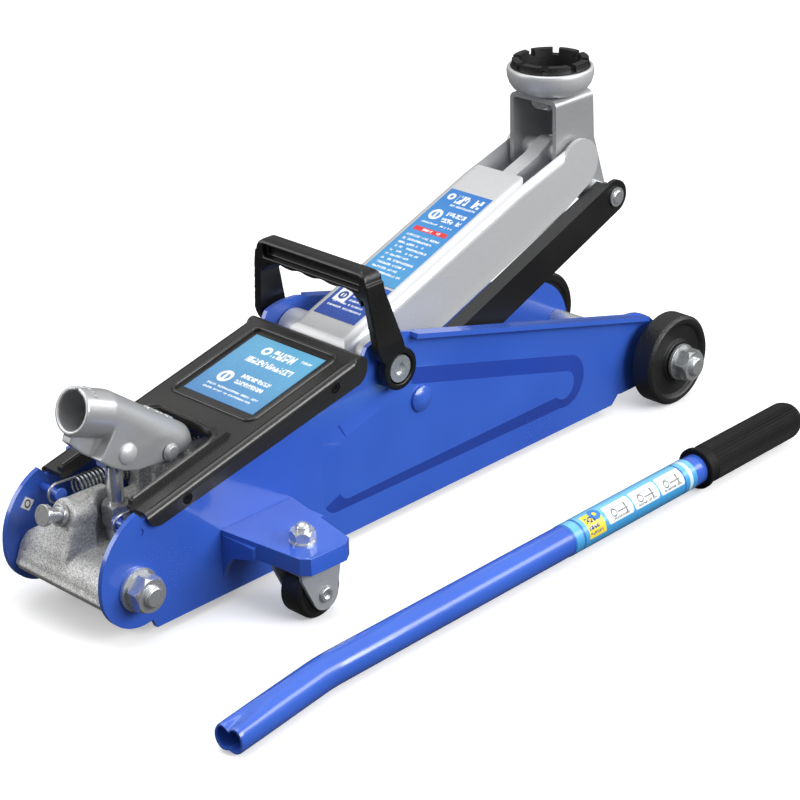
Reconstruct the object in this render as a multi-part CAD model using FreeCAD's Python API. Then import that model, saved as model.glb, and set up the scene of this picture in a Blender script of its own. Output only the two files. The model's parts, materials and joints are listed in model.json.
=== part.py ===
import FreeCAD, Part
import os
from math import sin, cos, tan, radians, degrees, atan2, acos, sqrt, pi

# Low-profile hydraulic trolley jack with its loose pump handle lying beside it.
# Units are millimetres.  +X is forward (fixed front wheels), +Y is the jack's
# left-hand side, +Z is up and the floor is Z = 0.  Everything below is drawn in a
# working frame whose X origin is arbitrary; ORIGIN_X and ORIGIN_Y move the finished
# pieces so that the bottom centre of the whole object's bounding box is the origin.

V = FreeCAD.Vector
os.makedirs("parts", exist_ok=True)

# ---------------------------------------------------------------- driving sizes
ORIGIN_X = 171.750
ORIGIN_Y = -31.781

# chassis side plates
PLATE_OUT = 43.0          # outer face, each side of the centre plane
PLATE_T = 3.0
PLATE_IN = PLATE_OUT - PLATE_T
LIP_OUT = 49.0            # outward fold along the front top edge
FLANGE_IN = 32.0          # inward fold along the bottom edge
BOT_Z = 5.2
RAISE = 1.3               # height of the pressed panel

# wheels and axle
WHEEL_R = 30.0
AXLE_X, AXLE_Z = 396.9, 30.0
AXLE_R = 7.5
STUB_R = 6.0              # M12 ends
WHEEL_Y0, WHEEL_Y1 = 50.0, 66.0
RUN = 0.05                # radial running clearance

# rear tie bolt
TIE_X, TIE_Z = -40.5, 34.0

# lift linkage: arm pivot A, saddle pivot U, tie link pivots B and L
AX, AZ = 155.0, 100.5
UX, UZ = 342.0, 173.3
BX, BZ = 178.4, 71.8
LX, LZ = BX + (UX - AX), BZ + (UZ - AZ)
ARM_OUT = 25.0            # arm channel half width
ARM_T = 3.0
LINK_IN, LINK_T = 33.4, 3.0
LINK_R = 11.0
BRK_OUT, BRK_T = 19.0, 3.0
LEVER_LEN = 45.0
LEVER_ANGLE = -2.7        # degrees from straight down, at rest
PIN_LEVER_R = 6.0

# hydraulic unit
RAM_Z = 57.0
PUMP_X = -17.0
PLUNGER_R = 4.65
PPIN_Z = 96.4             # plunger pin height at rest
FULX, FULZ = 12.2, 87.1   # socket fulcrum
SOCK_OR, SOCK_IR = 13.3, 10.9
MOUTH_X, MOUTH_Z = -42.0, 126.5
SOCK_TILT = 23.0          # degrees, mouth up

# cover
COV_SLOPE = 0.2412
COV_X0, COV_Z0 = -32.0, 76.0
COV_X1 = 133.2
COV_Y = 46.0
COV_T = 2.4

# saddle
SAD_X = 344.5
BRK_TOP = 211.5

# casters
CAS_X, CAS_Y = 41.0, 86.5
CAS_WX, CAS_R, CAS_W = 45.0, 16.0, 18.0

# loose pump handle
HAN_Y = -150.3
HAN_OR, HAN_IR = 9.5, 7.6
GRIP_R = 12.0

parts = {}


# ---------------------------------------------------------------- helpers
def path_wire(items, y):
    """Closed XZ outline: (x, z) for a line, ('a', mx, mz, x, z) for an arc."""
    first = items[0]
    cur = V(first[0], y, first[1])
    start = cur
    edges = []
    for it in items[1:]:
        if it[0] == 'a':
            mid = V(it[1], y, it[2])
            end = V(it[3], y, it[4])
            edges.append(Part.Arc(cur, mid, end).toShape())
        else:
            end = V(it[0], y, it[1])
            if (end - cur).Length < 1e-6:
                continue
            edges.append(Part.makeLine(cur, end))
        cur = end
    if (cur - start).Length > 1e-6:
        edges.append(Part.makeLine(cur, start))
    return Part.Wire(edges)


def prism(items, y0, y1):
    f = Part.Face(path_wire(items, y0))
    return f.extrude(V(0, y1 - y0, 0))


def prism_z(pts, z0, z1):
    vs = [V(p[0], p[1], z0) for p in pts]
    return Part.Face(Part.makePolygon(vs + [vs[0]])).extrude(V(0, 0, z1 - z0))


def box(x0, x1, y0, y1, z0, z1):
    return Part.makeBox(x1 - x0, y1 - y0, z1 - z0, V(x0, y0, z0))


def cy(x, z, r, y0, y1):
    return Part.makeCylinder(r, y1 - y0, V(x, y0, z), V(0, 1, 0))


def cz(x, y, r, z0, z1):
    return Part.makeCylinder(r, z1 - z0, V(x, y, z0), V(0, 0, 1))


def rod(p0, p1, r):
    a, b = V(*p0), V(*p1)
    return Part.makeCylinder(r, (b - a).Length, a, b - a)


def cone(p0, p1, r0, r1):
    a, b = V(*p0), V(*p1)
    return Part.makeCone(r0, r1, (b - a).Length, a, b - a)


def hexa(p0, p1, af, turn=0.0):
    """Hexagonal prism from p0 to p1, af across flats."""
    a, b = V(*p0), V(*p1)
    d = b - a
    ax = V(d).normalize()
    ref = V(0, 0, 1) if abs(ax.z) < 0.9 else V(1, 0, 0)
    e1 = ax.cross(ref).normalize()
    e2 = ax.cross(e1).normalize()
    r = af / sqrt(3.0)
    vs = []
    for i in range(6):
        t = radians(60 * i + turn)
        vs.append(a + e1 * (r * cos(t)) + e2 * (r * sin(t)))
    h = Part.Face(Part.makePolygon(vs + [vs[0]])).extrude(d)
    # chamfered corners
    c = 0.12 * af
    L = d.Length
    body = Part.makeCylinder(r, L, a, ax)
    top = Part.makeCone(r, r - c * 0.6, c, b - ax * c, ax)
    bot = Part.makeCone(r - c * 0.6, r, c, a, ax)
    mid = Part.makeCylinder(r, L - 2 * c, a + ax * c, ax)
    return h.common(bot.fuse(mid).fuse(top).removeSplitter())


def ring(p0, p1, ro, ri):
    return rod(p0, p1, ro).cut(rod(p0, p1, ri))


def hull2(c1, r1, c2, r2):
    """Outline around two circles in XZ."""
    dx, dz = c2[0] - c1[0], c2[1] - c1[1]
    d = sqrt(dx * dx + dz * dz)
    a = atan2(dz, dx)
    b = acos((r1 - r2) / d)

    def p(c, r, t):
        return (c[0] + r * cos(t), c[1] + r * sin(t))
    s = p(c1, r1, a + b)
    e1 = p(c2, r2, a + b)
    m1 = p(c2, r2, a)
    e2 = p(c2, r2, a - b)
    e3 = p(c1, r1, a - b)
    m2 = p(c1, r1, a + pi)
    return [s, e1, ('a', m1[0], m1[1], e2[0], e2[1]), e3, ('a', m2[0], m2[1], s[0], s[1])]


def mir(s):
    return s.mirror(V(0, 0, 0), V(0, 1, 0))


def both(s):
    return Part.makeCompound([s, mir(s)])


def revolve_y(pts, x, z):
    """Revolve (r, y) profile about the Y line through x, z."""
    vs = [V(x + r, y, z) for r, y in pts]
    f = Part.Face(Part.makePolygon(vs + [vs[0]]))
    return f.revolve(V(x, 0, z), V(0, 1, 0), 360)


def revolve_z(pts, x, y):
    vs = [V(x + r, y, z) for r, z in pts]
    f = Part.Face(Part.makePolygon(vs + [vs[0]]))
    return f.revolve(V(x, y, 0), V(0, 0, 1), 360)


def fillet_where(s, r, test):
    es = [e for e in s.Edges if test(e)]
    if not es:
        return s
    out = s.makeFillet(r, es)
    return out if out.isValid() else s


def add(name, shape):
    parts[name] = shape


def local(u, v, c=(AX, AZ), ang=None):
    a = atan2(UZ - AZ, UX - AX) if ang is None else ang
    return (c[0] + u * cos(a) - v * sin(a), c[1] + u * sin(a) + v * cos(a))


ARM_ANG = atan2(UZ - AZ, UX - AX)
ARM_LEN = sqrt((UZ - AZ) ** 2 + (UX - AX) ** 2)


def covz(x):
    return COV_Z0 + COV_SLOPE * (x - COV_X0)


# ---------------------------------------------------------------- side plates
def plate_outline():
    u = 3.4
    return [
        (-47.0, 12.0), ('a', -60.2, 22.5, -64.6, 38.5), ('a', -58.0, 61.5, -37.5, 77.6),
        (-33.0, covz(-33.0) - u), (COV_X1 + 0.6, covz(COV_X1 + 0.6) - u),
        (136.5, 117.0), ('a', 145.0, 119.2, 155.0, 119.6), ('a', 161.5, 119.2, 168.0, 117.2),
        (371.0, 63.6), ('a', 398.6, 51.3, 407.9, 33.5), ('a', 405.6, 17.5, 393.0, 10.4),
        (366.0, 10.4), (363.0, 11.0), (357.0, BOT_Z), (-28.8, BOT_Z), (-31.5, 11.2),
        ('a', -39.0, 10.4, -47.0, 12.0)]


def side_plate():
    p = prism(plate_outline(), PLATE_IN, PLATE_OUT)
    # outward lip along the front top edge
    x0, z0 = 172.5, 116.0
    x1, z1 = 387.0, 59.6
    a = atan2(z1 - z0, x1 - x0)
    nx, nz = sin(a), -cos(a)
    t = 3.0
    lip = prism([(x0, z0), (x1, z1), (x1 + nx * t, z1 + nz * t), (x0 + nx * t, z0 + nz * t)],
                PLATE_IN + 0.2, LIP_OUT)
    p = p.fuse(lip)
    # inward flange along the bottom edge
    p = p.fuse(box(-26.0, 354.0, FLANGE_IN, PLATE_OUT - 0.4, BOT_Z, BOT_Z + 3.0))
    # raised panel on the outer face, with a sloping border between two outlines
    outer = [(99.0, 68.0), (98.6, 33.0), ('a', 101.5, 26.0, 110.0, 23.0), (305.6, 20.8),
             ('a', 326.5, 30.0, 318.5, 53.5), (249.5, 71.2), (172.0, 93.2), (165.0, 91.0),
             (113.0, 76.9), ('a', 102.5, 73.0, 99.0, 68.0)]
    inner = [(110.4, 62.0), (110.0, 38.0), ('a', 112.0, 32.0, 119.4, 29.2), (300.7, 30.4),
             ('a', 317.0, 34.0, 312.0, 44.8), (249.4, 62.0), (171.0, 83.2), (166.0, 82.0),
             (117.0, 68.6), ('a', 112.0, 66.5, 110.4, 62.0)]
    panel = Part.makeLoft([path_wire(outer, PLATE_OUT), path_wire(inner, PLATE_OUT + RAISE)],
                          True, True)
    p = p.fuse(panel)
    for x, z, r in ((TIE_X, TIE_Z, STUB_R), (AXLE_X, AXLE_Z, STUB_R), (AX, AZ, 8.0),
                    (BX, BZ, 5.0)):
        p = p.cut(cy(x, z, r, PLATE_IN - 5, PLATE_OUT + 5))
    for x in (-4.2, 108.2):
        p = p.cut(cy(x, covz(x) - 7.2, 1.6, PLATE_IN - 5, PLATE_OUT + 5))
    p = p.cut(cy(-36.0, 66.0, 2.5, PLATE_IN - 5, PLATE_OUT + 5))
    return p.removeSplitter()


plate = side_plate()
add("side_plate_left", plate)
add("side_plate_right", mir(plate))


# ---------------------------------------------------------------- caster brackets
def caster_bracket():
    # folded plate: wing with turned-down edges, a standing root flange welded on
    top = [(20.0, PLATE_OUT), (25.5, 100.0), (29.5, 105.0), (55.0, 106.0), (61.0, 102.0),
           (74.0, PLATE_OUT)]
    outer = prism_z(top, 35.5, 46.0)
    t = 3.0
    ins = [(20.0 + t + 0.6, PLATE_OUT - 5), (25.5 + t, 99.0), (31.0, 105.0 - t), (54.0, 106.0 - t),
           (58.0, 100.5), (74.0 - t - 0.6, PLATE_OUT - 5)]
    inner = prism_z(ins, 30.0, 43.0)
    b = outer.cut(inner)
    # deeper gussets where the turned-down edges meet the chassis
    for xs in ((20.0, 23.2), (70.8, 74.0)):
        tri = Part.Face(Part.makePolygon([V(xs[0], PLATE_OUT, 15.6), V(xs[0], PLATE_OUT, 43.0),
                                          V(xs[0], PLATE_OUT + 26, 43.0),
                                          V(xs[0], PLATE_OUT + 26, 35.5),
                                          V(xs[0], PLATE_OUT + 9, 31.0),
                                          V(xs[0], PLATE_OUT + 3, 24.0),
                                          V(xs[0], PLATE_OUT, 15.6)]))
        b = b.fuse(tri.extrude(V(xs[1] - xs[0], 0, 0)))
    # raised race for the swivel
    b = b.fuse(cz(CAS_X, CAS_Y, 11.0, 41.6, 43.5))
    b = b.cut(cz(CAS_X, CAS_Y, 4.0, 30, 60))
    return b.removeSplitter()


cb = caster_bracket()
add("caster_bracket_left", cb)
add("caster_bracket_right", mir(cb))
# swivel bolts: head up inside the fork's hub, shank through the bracket
bolt = cz(CAS_X, CAS_Y, 6.4, 33.6, 37.4).fuse(cz(CAS_X, CAS_Y, 4.0, 37.4, 55.5))
bolt = bolt.fuse(Part.makeSphere(4.4, V(CAS_X, CAS_Y, 53.5)).common(
    cz(CAS_X, CAS_Y, 4.0, 55.0, 60.0)))
add("caster_bolts", both(bolt.removeSplitter()))
nut = hexa((CAS_X, CAS_Y, 47.2), (CAS_X, CAS_Y, 53.4), 13.0, 12).cut(
    cz(CAS_X, CAS_Y, 4.0, 40, 60))
wsh = ring((CAS_X, CAS_Y, 46.0), (CAS_X, CAS_Y, 47.2), 7.6, 4.0)
add("caster_nuts", both(nut.fuse(wsh).removeSplitter()))


def caster_fork():
    cyc, hw = CAS_Y, CAS_W / 2.0 + 0.6
    t = 2.5
    z0, z1 = 32.8, 35.1
    top = box(28.0, 56.5, cyc - hw - t, cyc + hw + t, z0, z1)
    o = [(28.0, z1), (56.5, z1), (57.0, 29.0), (54.8, 17.5),
         ('a', 46.5, 6.4, 37.0, 12.0), (28.4, 30.0)]
    cheek = prism(o, cyc + hw, cyc + hw + t)
    cheek2 = prism(o, cyc - hw - t, cyc - hw)
    f = top.fuse(cheek).fuse(cheek2)
    # turntable hub, hollow underneath for the swivel bolt's head
    f = f.fuse(cz(CAS_X, CAS_Y, 12.0, z0, 41.2)).cut(cz(CAS_X, CAS_Y, 7.2, 30.0, 37.8))
    f = f.cut(cz(CAS_X, CAS_Y, 4.0 + RUN, 30, 60))
    f = f.cut(cy(CAS_WX, CAS_R, 3.0, cyc - 20, cyc + 20))
    return f.removeSplitter()


cf = caster_fork()
add("caster_fork_left", cf)
add("caster_fork_right", mir(cf))
hwc = CAS_W / 2.0 + 0.6 + 2.5
cax = cy(CAS_WX, CAS_R, 3.0, CAS_Y - hwc, CAS_Y + hwc)
for s in (-1, 1):
    y0 = CAS_Y + s * hwc
    cax = cax.fuse(cone((CAS_WX, y0, CAS_R), (CAS_WX, y0 + s * 1.8, CAS_R), 5.2, 4.0))
    cax = cax.cut(cone((CAS_WX, y0 + s * 1.8, CAS_R), (CAS_WX, y0 + s * 0.6, CAS_R), 2.4, 1.2))
cax = cax.removeSplitter()
add("caster_axle_left", cax)
add("caster_axle_right", mir(cax))
w2 = CAS_W / 2.0
cw = revolve_y([(3.0 + RUN, CAS_Y - w2), (11.0, CAS_Y - w2), (12.0, CAS_Y - w2 + 0.8),
                (CAS_R - 1.8, CAS_Y - w2 + 0.8), (CAS_R, CAS_Y - w2 + 2.6),
                (CAS_R, CAS_Y + w2 - 2.6), (CAS_R - 1.8, CAS_Y + w2 - 0.8),
                (12.0, CAS_Y + w2 - 0.8), (11.0, CAS_Y + w2), (3.0 + RUN, CAS_Y + w2)],
               CAS_WX, CAS_R)
add("caster_wheel_left", cw)
add("caster_wheel_right", mir(cw))

# ---------------------------------------------------------------- front axle and wheels
axle = cy(AXLE_X, AXLE_Z, AXLE_R, -PLATE_IN, PLATE_IN)
axle = axle.fuse(cy(AXLE_X, AXLE_Z, STUB_R, -81.5, 81.5)).removeSplitter()
axle = axle.makeChamfer(1.0, [e for e in axle.Edges if e.BoundBox.YLength < 1e-3 and
                              abs(abs(e.BoundBox.YMin) - 81.5) < 1e-3])
add("front_axle", axle)
add("axle_spacers", both(ring((AXLE_X, PLATE_OUT, AXLE_Z), (AXLE_X, 49.6, AXLE_Z), 10.5, STUB_R)))
add("axle_washers", both(ring((AXLE_X, 66.4, AXLE_Z), (AXLE_X, 68.7, AXLE_Z), 12.0, STUB_R)))
axle_nut = hexa((AXLE_X, 68.7, AXLE_Z), (AXLE_X, 78.7, AXLE_Z), 19.0, 10).cut(
    cy(AXLE_X, AXLE_Z, STUB_R, 60, 90))
y0, y1 = WHEEL_Y0, WHEEL_Y1
fw = revolve_y([(STUB_R + RUN, y0), (13.0, y0), (14.0, y0 + 1.5), (23.0, y0 + 1.5), (24.5, y0 + 0.2),
                (WHEEL_R - 1.6, y0 + 0.2), (WHEEL_R, y0 + 1.8), (WHEEL_R, y1 - 2.0),
                (WHEEL_R - 2.0, y1), (25.6, y1), (24.4, y1 - 1.0), (23.4, y1 - 2.6),
                (14.4, y1 - 2.6), (13.2, y1 - 0.6), (STUB_R + RUN, y1 - 0.6)], AXLE_X, AXLE_Z)
add("front_wheel_left", fw)
add("front_wheel_right", mir(fw))

# ---------------------------------------------------------------- rear tie bolt
tb = cy(TIE_X, TIE_Z, STUB_R, -58.5, 58.5)
tb = tb.makeChamfer(1.0, [e for e in tb.Edges if e.BoundBox.YLength < 1e-3])
add("rear_tie_bolt", tb)
add("rear_washers", both(ring((TIE_X, PLATE_OUT, TIE_Z), (TIE_X, 45.4, TIE_Z), 12.5, STUB_R)))
nut = hexa((TIE_X, 45.4, TIE_Z), (TIE_X, 55.4, TIE_Z), 19.0, 18).cut(cy(TIE_X, TIE_Z, STUB_R, 40, 60))
add("m12_nuts", Part.makeCompound([nut, mir(nut), axle_nut, mir(axle_nut)]))

# ---------------------------------------------------------------- hydraulic unit
low = prism([(-50.0, 9.2), (28.0, 9.2), (30.0, 12.0), (30.0, 40.0), (27.0, 42.0), (-44.0, 42.0),
             ('a', -54.6, 39.0, -58.8, 31.0), ('a', -61.0, 22.0, -57.0, 14.5),
             ('a', -54.5, 10.6, -50.0, 9.2)], -(PLATE_IN - 0.4), PLATE_IN - 0.4)
low = fillet_where(low, 3.0, lambda e: e.BoundBox.YLength < 1e-3 and e.BoundBox.ZMin > 9.3)
tower = prism([(-4.0, 40.0), (24.0, 40.0), (24.0, 57.5), (-4.0, 57.5)], -20.0, 20.0)
# hump on the left half that carries the release valve, scooped out round the pump gland
hs = [(39.2, 20.0), (39.2, 40.0), (35.5, 46.5), (28.0, 51.5), (21.5, 56.0), (19.5, 63.5), (15.5, 69.0),
      (8.5, 69.6), (4.4, 66.5), (3.0, 60.0), (-2.0, 44.0), (-2.0, 20.0)]
hv = [V(-70.0, yy, zz) for yy, zz in hs]
hump = Part.Face(Part.makePolygon(hv + [hv[0]])).extrude(V(66.5, 0, 0))
hump = hump.common(prism([(-59.6, 20.0), (-60.2, 24.0), (-58.8, 31.0), (-54.6, 43.0), (-50.4, 52.0),
                          (-46.2, 61.0), (-42.8, 70.0), (-14.0, 68.0), (-3.5, 57.0), (-3.5, 20.0)], -60, 60))
hump = hump.cut(cz(-14.0, -12.0, 22.0, 42.0, 90.0))
block = low.fuse(tower).fuse(hump)
# valve boss, tilted up to the rear on the left half
VD = V(-0.9397, 0, 0.3420)
VB = V(-46.0, 11.0, 62.0)
boss0 = VB - VD * 18.0
block = block.fuse(Part.makeCylinder(9.6, 18.0, boss0, VD))
# ram cylinder seat
block = block.fuse(rod((10.0, 0, RAM_Z), (31.5, 0, RAM_Z), 24.0))
block = block.cut(box(24.0, 40.0, -45, 45, 0, 9.2))
# the underside rises towards the rear
block = block.cut(prism([(-70.0, -1.0), (-70.0, 28.0), (-60.2, 28.0), (-58.8, 24.6), (-55.5, 22.0), (-51.0, 21.0),
                         (-38.0, 19.6), (-20.0, 12.0), (-12.0, 9.2), (-12.0, -1.0)], -60.0, 60.0))
for yy in (-28.0, 28.0):      # channels where the return springs run past the seat
    block = block.cut(rod((4.0, yy, 63.8), (36.0, yy, 62.0), 7.2))
# fulcrum lugs for the handle socket
lug = [(4.2, 50.0), (20.2, 50.0), (20.2, FULZ), ('a', FULX, FULZ + 8.0, 4.2, FULZ)]
for yy in ((5.2, 9.4), (-9.4, -5.2)):
    block = block.fuse(prism(lug, yy[0], yy[1]))
block = block.cut(cy(FULX, FULZ, 4.0, -15, 15))
block = block.cut(cy(TIE_X, TIE_Z, STUB_R, -60, 60))
# bores for the pump barrel, the valve stem and the ram cylinder
block = block.cut(cz(PUMP_X, 0, 7.0, 20.0, 70.0))
block = block.cut(Part.makeCylinder(4.6, 24.0, VB - VD * 22.0, VD))
block = block.cut(rod((12.0, 0, RAM_Z), (40.0, 0, RAM_Z), 19.0))
block = block.removeSplitter()
add("hydraulic_block", block)
# filler plug on the right-hand shoulder
plug = cz(18.0, -31.0, 5.0, 42.0, 43.6).fuse(hexa((18.0, -31.0, 43.6), (18.0, -31.0, 47.2), 8.0))
add("filler_plug", plug.removeSplitter())
# pump gland: threaded neck under a hexagon
gl = cz(PUMP_X, 0, 7.0, 20.0, 50.2)
gl = gl.fuse(hexa((PUMP_X, 0, 50.2), (PUMP_X, 0, 63.2), 15.0, 5))
gl = gl.cut(cz(PUMP_X, 0, PLUNGER_R + RUN, 24.0, 70.0))
add("gland_nut", gl.removeSplitter())
# ram cylinder with a front collar
cyl = rod((12.0, 0, RAM_Z), (104.0, 0, RAM_Z), 19.0).fuse(rod((96.0, 0, RAM_Z), (108.0, 0, RAM_Z), 21.0))
cyl = cyl.cut(rod((20.0, 0, RAM_Z), (104.1, 0, RAM_Z), 14.5)).cut(
    rod((100.0, 0, RAM_Z), (110.0, 0, RAM_Z), 9.0 + RUN))
add("ram_cylinder", cyl.removeSplitter())
# socket fulcrum pin
fp = cy(FULX, FULZ, 4.0, -15.4, 15.4)
for s in (-1, 1):
    fp = fp.fuse(cone((FULX, s * 14.3, FULZ), (FULX, s * 16.4, FULZ), 5.4, 3.6))
add("fulcrum_pin", fp.removeSplitter())
# release valve spindle: collar, stem and slotted end
VP = VB + VD * 0.3
rv = Part.makeCylinder(4.5, 20.6, VP - VD * 20.0, VD)
rv = rv.fuse(Part.makeCylinder(6.2, 3.2, VP, VD)).fuse(Part.makeCylinder(4.3, 12.0, VP, VD))
rv = rv.fuse(Part.makeCylinder(6.1, 3.4, VP + VD * 10.6, VD))
add("release_valve", rv.removeSplitter())

# ---------------------------------------------------------------- ram rod and yoke
LPX = AX + LEVER_LEN * sin(radians(LEVER_ANGLE))
LPZ = AZ - LEVER_LEN * cos(radians(LEVER_ANGLE))
rr = rod((50.0, 0, RAM_Z), (140.0, 0, RAM_Z), 9.0)
yk = box(138.0, LPX + 10.5, -8.6, 8.6, LPZ - 10.5, LPZ + 18.0)
yk = yk.cut(box(LPX - PIN_LEVER_R - 0.6, LPX + PIN_LEVER_R + 0.6, -20, 20, LPZ - PIN_LEVER_R - 0.5,
                LPZ + 7.4 + PIN_LEVER_R))
rr = rr.fuse(yk).removeSplitter()
add("ram_rod", rr)

# ---------------------------------------------------------------- lift arm
def arm_profile():
    p = lambda u, v: local(u, v)
    rear_t = p(-7.0, 18.2)
    rear_m = p(-19.4, -1.0)
    rear_b = p(-5.0, -18.8)
    cx, cz_, r = 345.0, 168.2, 16.5
    d = ARM_ANG + pi / 2
    top_t = (cx + r * cos(d + 0.06), cz_ + r * sin(d + 0.06))
    fr = (cx + r * cos(0.15), cz_ + r * sin(0.15))
    low = (cx + r * cos(-0.95), cz_ + r * sin(-0.95))
    lowm = (cx + r * cos(-0.4), cz_ + r * sin(-0.4))
    lo1 = (328.5, 140.9)
    lo0 = p(24.0, -23.6)
    return [rear_t, (local(150.0, 14.9)[0], local(150.0, 14.9)[1]), top_t,
            ('a', fr[0], fr[1], low[0], low[1]), lo1, lo0,
            rear_b, ('a', rear_m[0], rear_m[1], rear_t[0], rear_t[1])]


arm_o = arm_profile()
solid = prism(arm_o, -ARM_OUT, ARM_OUT)
# round the two long top edges of the channel
def is_top(e):
    bb = e.BoundBox
    if bb.YLength > 1e-3 or bb.XLength < 100:
        return False
    m = e.CenterOfMass
    return m.z > AZ + (m.x - AX) * tan(ARM_ANG)
solid = fillet_where(solid, 8.0, is_top)
# hollow: walls and top skin
a15 = local(150.0, 14.9)
t0 = local(-7.0, 18.2 - ARM_T)
t1 = local(150.0, 14.9 - ARM_T)
t2 = local(260.0, 14.9 - ARM_T - 1.5)
core = prism([local(-60.0, 18.2 - ARM_T + 0.8), t1, local(260.0, 40.0), local(260.0, -60.0),
              local(-60.0, -60.0)], -(ARM_OUT - ARM_T), ARM_OUT - ARM_T)
core = fillet_where(core, 5.0, is_top)
arm = solid.cut(core)
# the top skin stops behind the ears, with the saddle bracket standing in the gap
gap = prism([(304.0, 130.0), (304.0, 230.0), (400.0, 230.0), (400.0, 130.0)],
            -(ARM_OUT - ARM_T), ARM_OUT - ARM_T)
arm = arm.cut(gap)
arm = arm.cut(prism([(304.0, 171.0), (304.0, 230.0), (322.0, 230.0), (322.0, 178.0)], -60, 60))
# clear space behind for the shaft tube
arm = arm.cut(cy(AX, AZ, 13.0, -60, 60)).cut(cy(UX, UZ, 6.5, -ARM_OUT + 0.8, ARM_OUT - 0.8))
arm = arm.removeSplitter()
add("lift_arm", arm)
add("arm_pivot_tube", ring((AX, -39.4, AZ), (AX, 39.4, AZ), 13.0, 10.0 + RUN))
shaft = cy(AX, AZ, 10.0, -PLATE_IN, PLATE_IN).fuse(cy(AX, AZ, 8.0, -PLATE_OUT, PLATE_OUT))
shaft = shaft.cut(cy(AX, AZ, 5.0, -60, -22)).cut(cy(AX, AZ, 5.0, 22, 60))
add("arm_shaft", shaft.removeSplitter())
# centre stiffener between the channel walls, rounded about the saddle pivot
st = prism([local(56.0, -12.0), local(56.0, 9.6), local(120.0, 9.6), local(ARM_LEN - 14.0, 6.8), (UX - 5.0, UZ + 7.3),
            ('a', UX + 5.0, UZ + 7.3, UX + 8.9, UZ), local(ARM_LEN + 2.0, -12.0)], -5.5, 5.5)
st = st.cut(cy(UX, UZ, 6.5, -60, 60))
st = st.fuse(prism([local(56.0, -12.0), local(56.0, 9.6), local(62.0, 9.6), local(62.0, -12.0)],
                   -(ARM_OUT - ARM_T), ARM_OUT - ARM_T))
add("arm_strut", st.removeSplitter())
# operating levers under the shaft tube
lv = prism(hull2((AX, AZ), 16.0, (LPX, LPZ), 10.5), 10.0, 16.0)
lv = lv.cut(cy(AX, AZ, 13.0, -60, 60)).cut(cy(LPX, LPZ, PIN_LEVER_R, -60, 60))
add("arm_levers", both(lv).cut(parts["lift_arm"]))
add("lever_pin", cy(LPX, LPZ, PIN_LEVER_R, -30.5, 30.5).cut(
    ring((LPX, 26.8, LPZ), (LPX, 29.2, LPZ), 7.0, 4.6)).cut(
    ring((LPX, -29.2, LPZ), (LPX, -26.8, LPZ), 7.0, 4.6)))
add("saddle_pivot_pin", cy(UX, UZ, 6.5, -ARM_OUT + 0.8, ARM_OUT - 0.8))


# labels on the sloping top skin
def arm_label(u0, u1, y0, y1):
    def vtop(u):
        return 18.2 + (14.9 - 18.2) * (u + 7.0) / 157.0
    q0, q1 = local(u0, vtop(u0)), local(u1, vtop(u1))
    n = V(-sin(ARM_ANG - 0.021), 0, cos(ARM_ANG - 0.021)) * 0.3
    vs = [V(q0[0], y0, q0[1]), V(q1[0], y0, q1[1]), V(q1[0], y1, q1[1]), V(q0[0], y1, q0[1])]
    return Part.Face(Part.makePolygon(vs + [vs[0]])).extrude(n)


add("arm_label_front", arm_label(40.0, 132.0, -16.8, 16.8))
add("arm_label_rear", arm_label(4.0, 38.0, -16.8, 16.8))

# ---------------------------------------------------------------- saddle bracket and links
bo = [(328.2, BRK_TOP), (363.2, BRK_TOP), (364.6, 181.0), (375.2, 148.5),
      ('a', LX + 6.5, LZ - 8.0, LX - 5.0, LZ - 9.0), (333.0, 160.0),
      ('a', 329.0, 165.5, 328.2, 172.0)]
bs = prism(bo, -BRK_OUT, BRK_OUT)
bs = fillet_where(bs, 4.5, lambda e: e.BoundBox.YLength < 1e-3 and
                  abs(e.BoundBox.ZMin - BRK_TOP) < 1e-3 and abs(e.BoundBox.ZMax - BRK_TOP) < 1e-3)
bc = box(300, 400, -(BRK_OUT - BRK_T), BRK_OUT - BRK_T, 100, BRK_TOP - BRK_T)
bc = fillet_where(bc, 2.0, lambda e: e.BoundBox.YLength < 1e-3 and
                  abs(e.BoundBox.ZMin - (BRK_TOP - BRK_T)) < 1e-3 and e.BoundBox.XLength > 50)
br = bs.cut(bc).cut(cy(UX, UZ, 6.5 + RUN, -60, 60)).cut(cy(LX, LZ, 4.5, -60, 60))
br = br.cut(cz(SAD_X, 0, 8.0 + RUN, 190, 220))
# closing wall across the front between the cheeks
br = br.fuse(box(360.4, 363.2, -(BRK_OUT - BRK_T) - 0.5, BRK_OUT - BRK_T + 0.5, 176.0, BRK_TOP - 1.0))
add("saddle_bracket", br.removeSplitter())


def tie_link():
    a = ARM_ANG
    y0, y1 = LINK_IN, LINK_IN + LINK_T
    w = prism(hull2((BX, BZ), LINK_R, (LX, LZ), LINK_R - 0.4), y0, y1)
    # thin flange folded outward-in along the top edge
    q0 = (BX + 14 * cos(a) - LINK_R * sin(a), BZ + 14 * sin(a) + LINK_R * cos(a))
    q1 = (LX - 2 * cos(a) - (LINK_R - 0.4) * sin(a), LZ - 2 * sin(a) + (LINK_R - 0.4) * cos(a))
    n = (sin(a) * 2.6, -cos(a) * 2.6)
    fl = prism([q0, q1, (q1[0] + n[0], q1[1] + n[1]), (q0[0] + n[0], q0[1] + n[1])], 25.7, y1)
    w = w.fuse(fl)
    w = w.cut(cy(BX, BZ, 5.0 + RUN, 0, 60)).cut(cy(LX, LZ, 4.5 + RUN, 0, 60))
    return w.removeSplitter()


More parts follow.
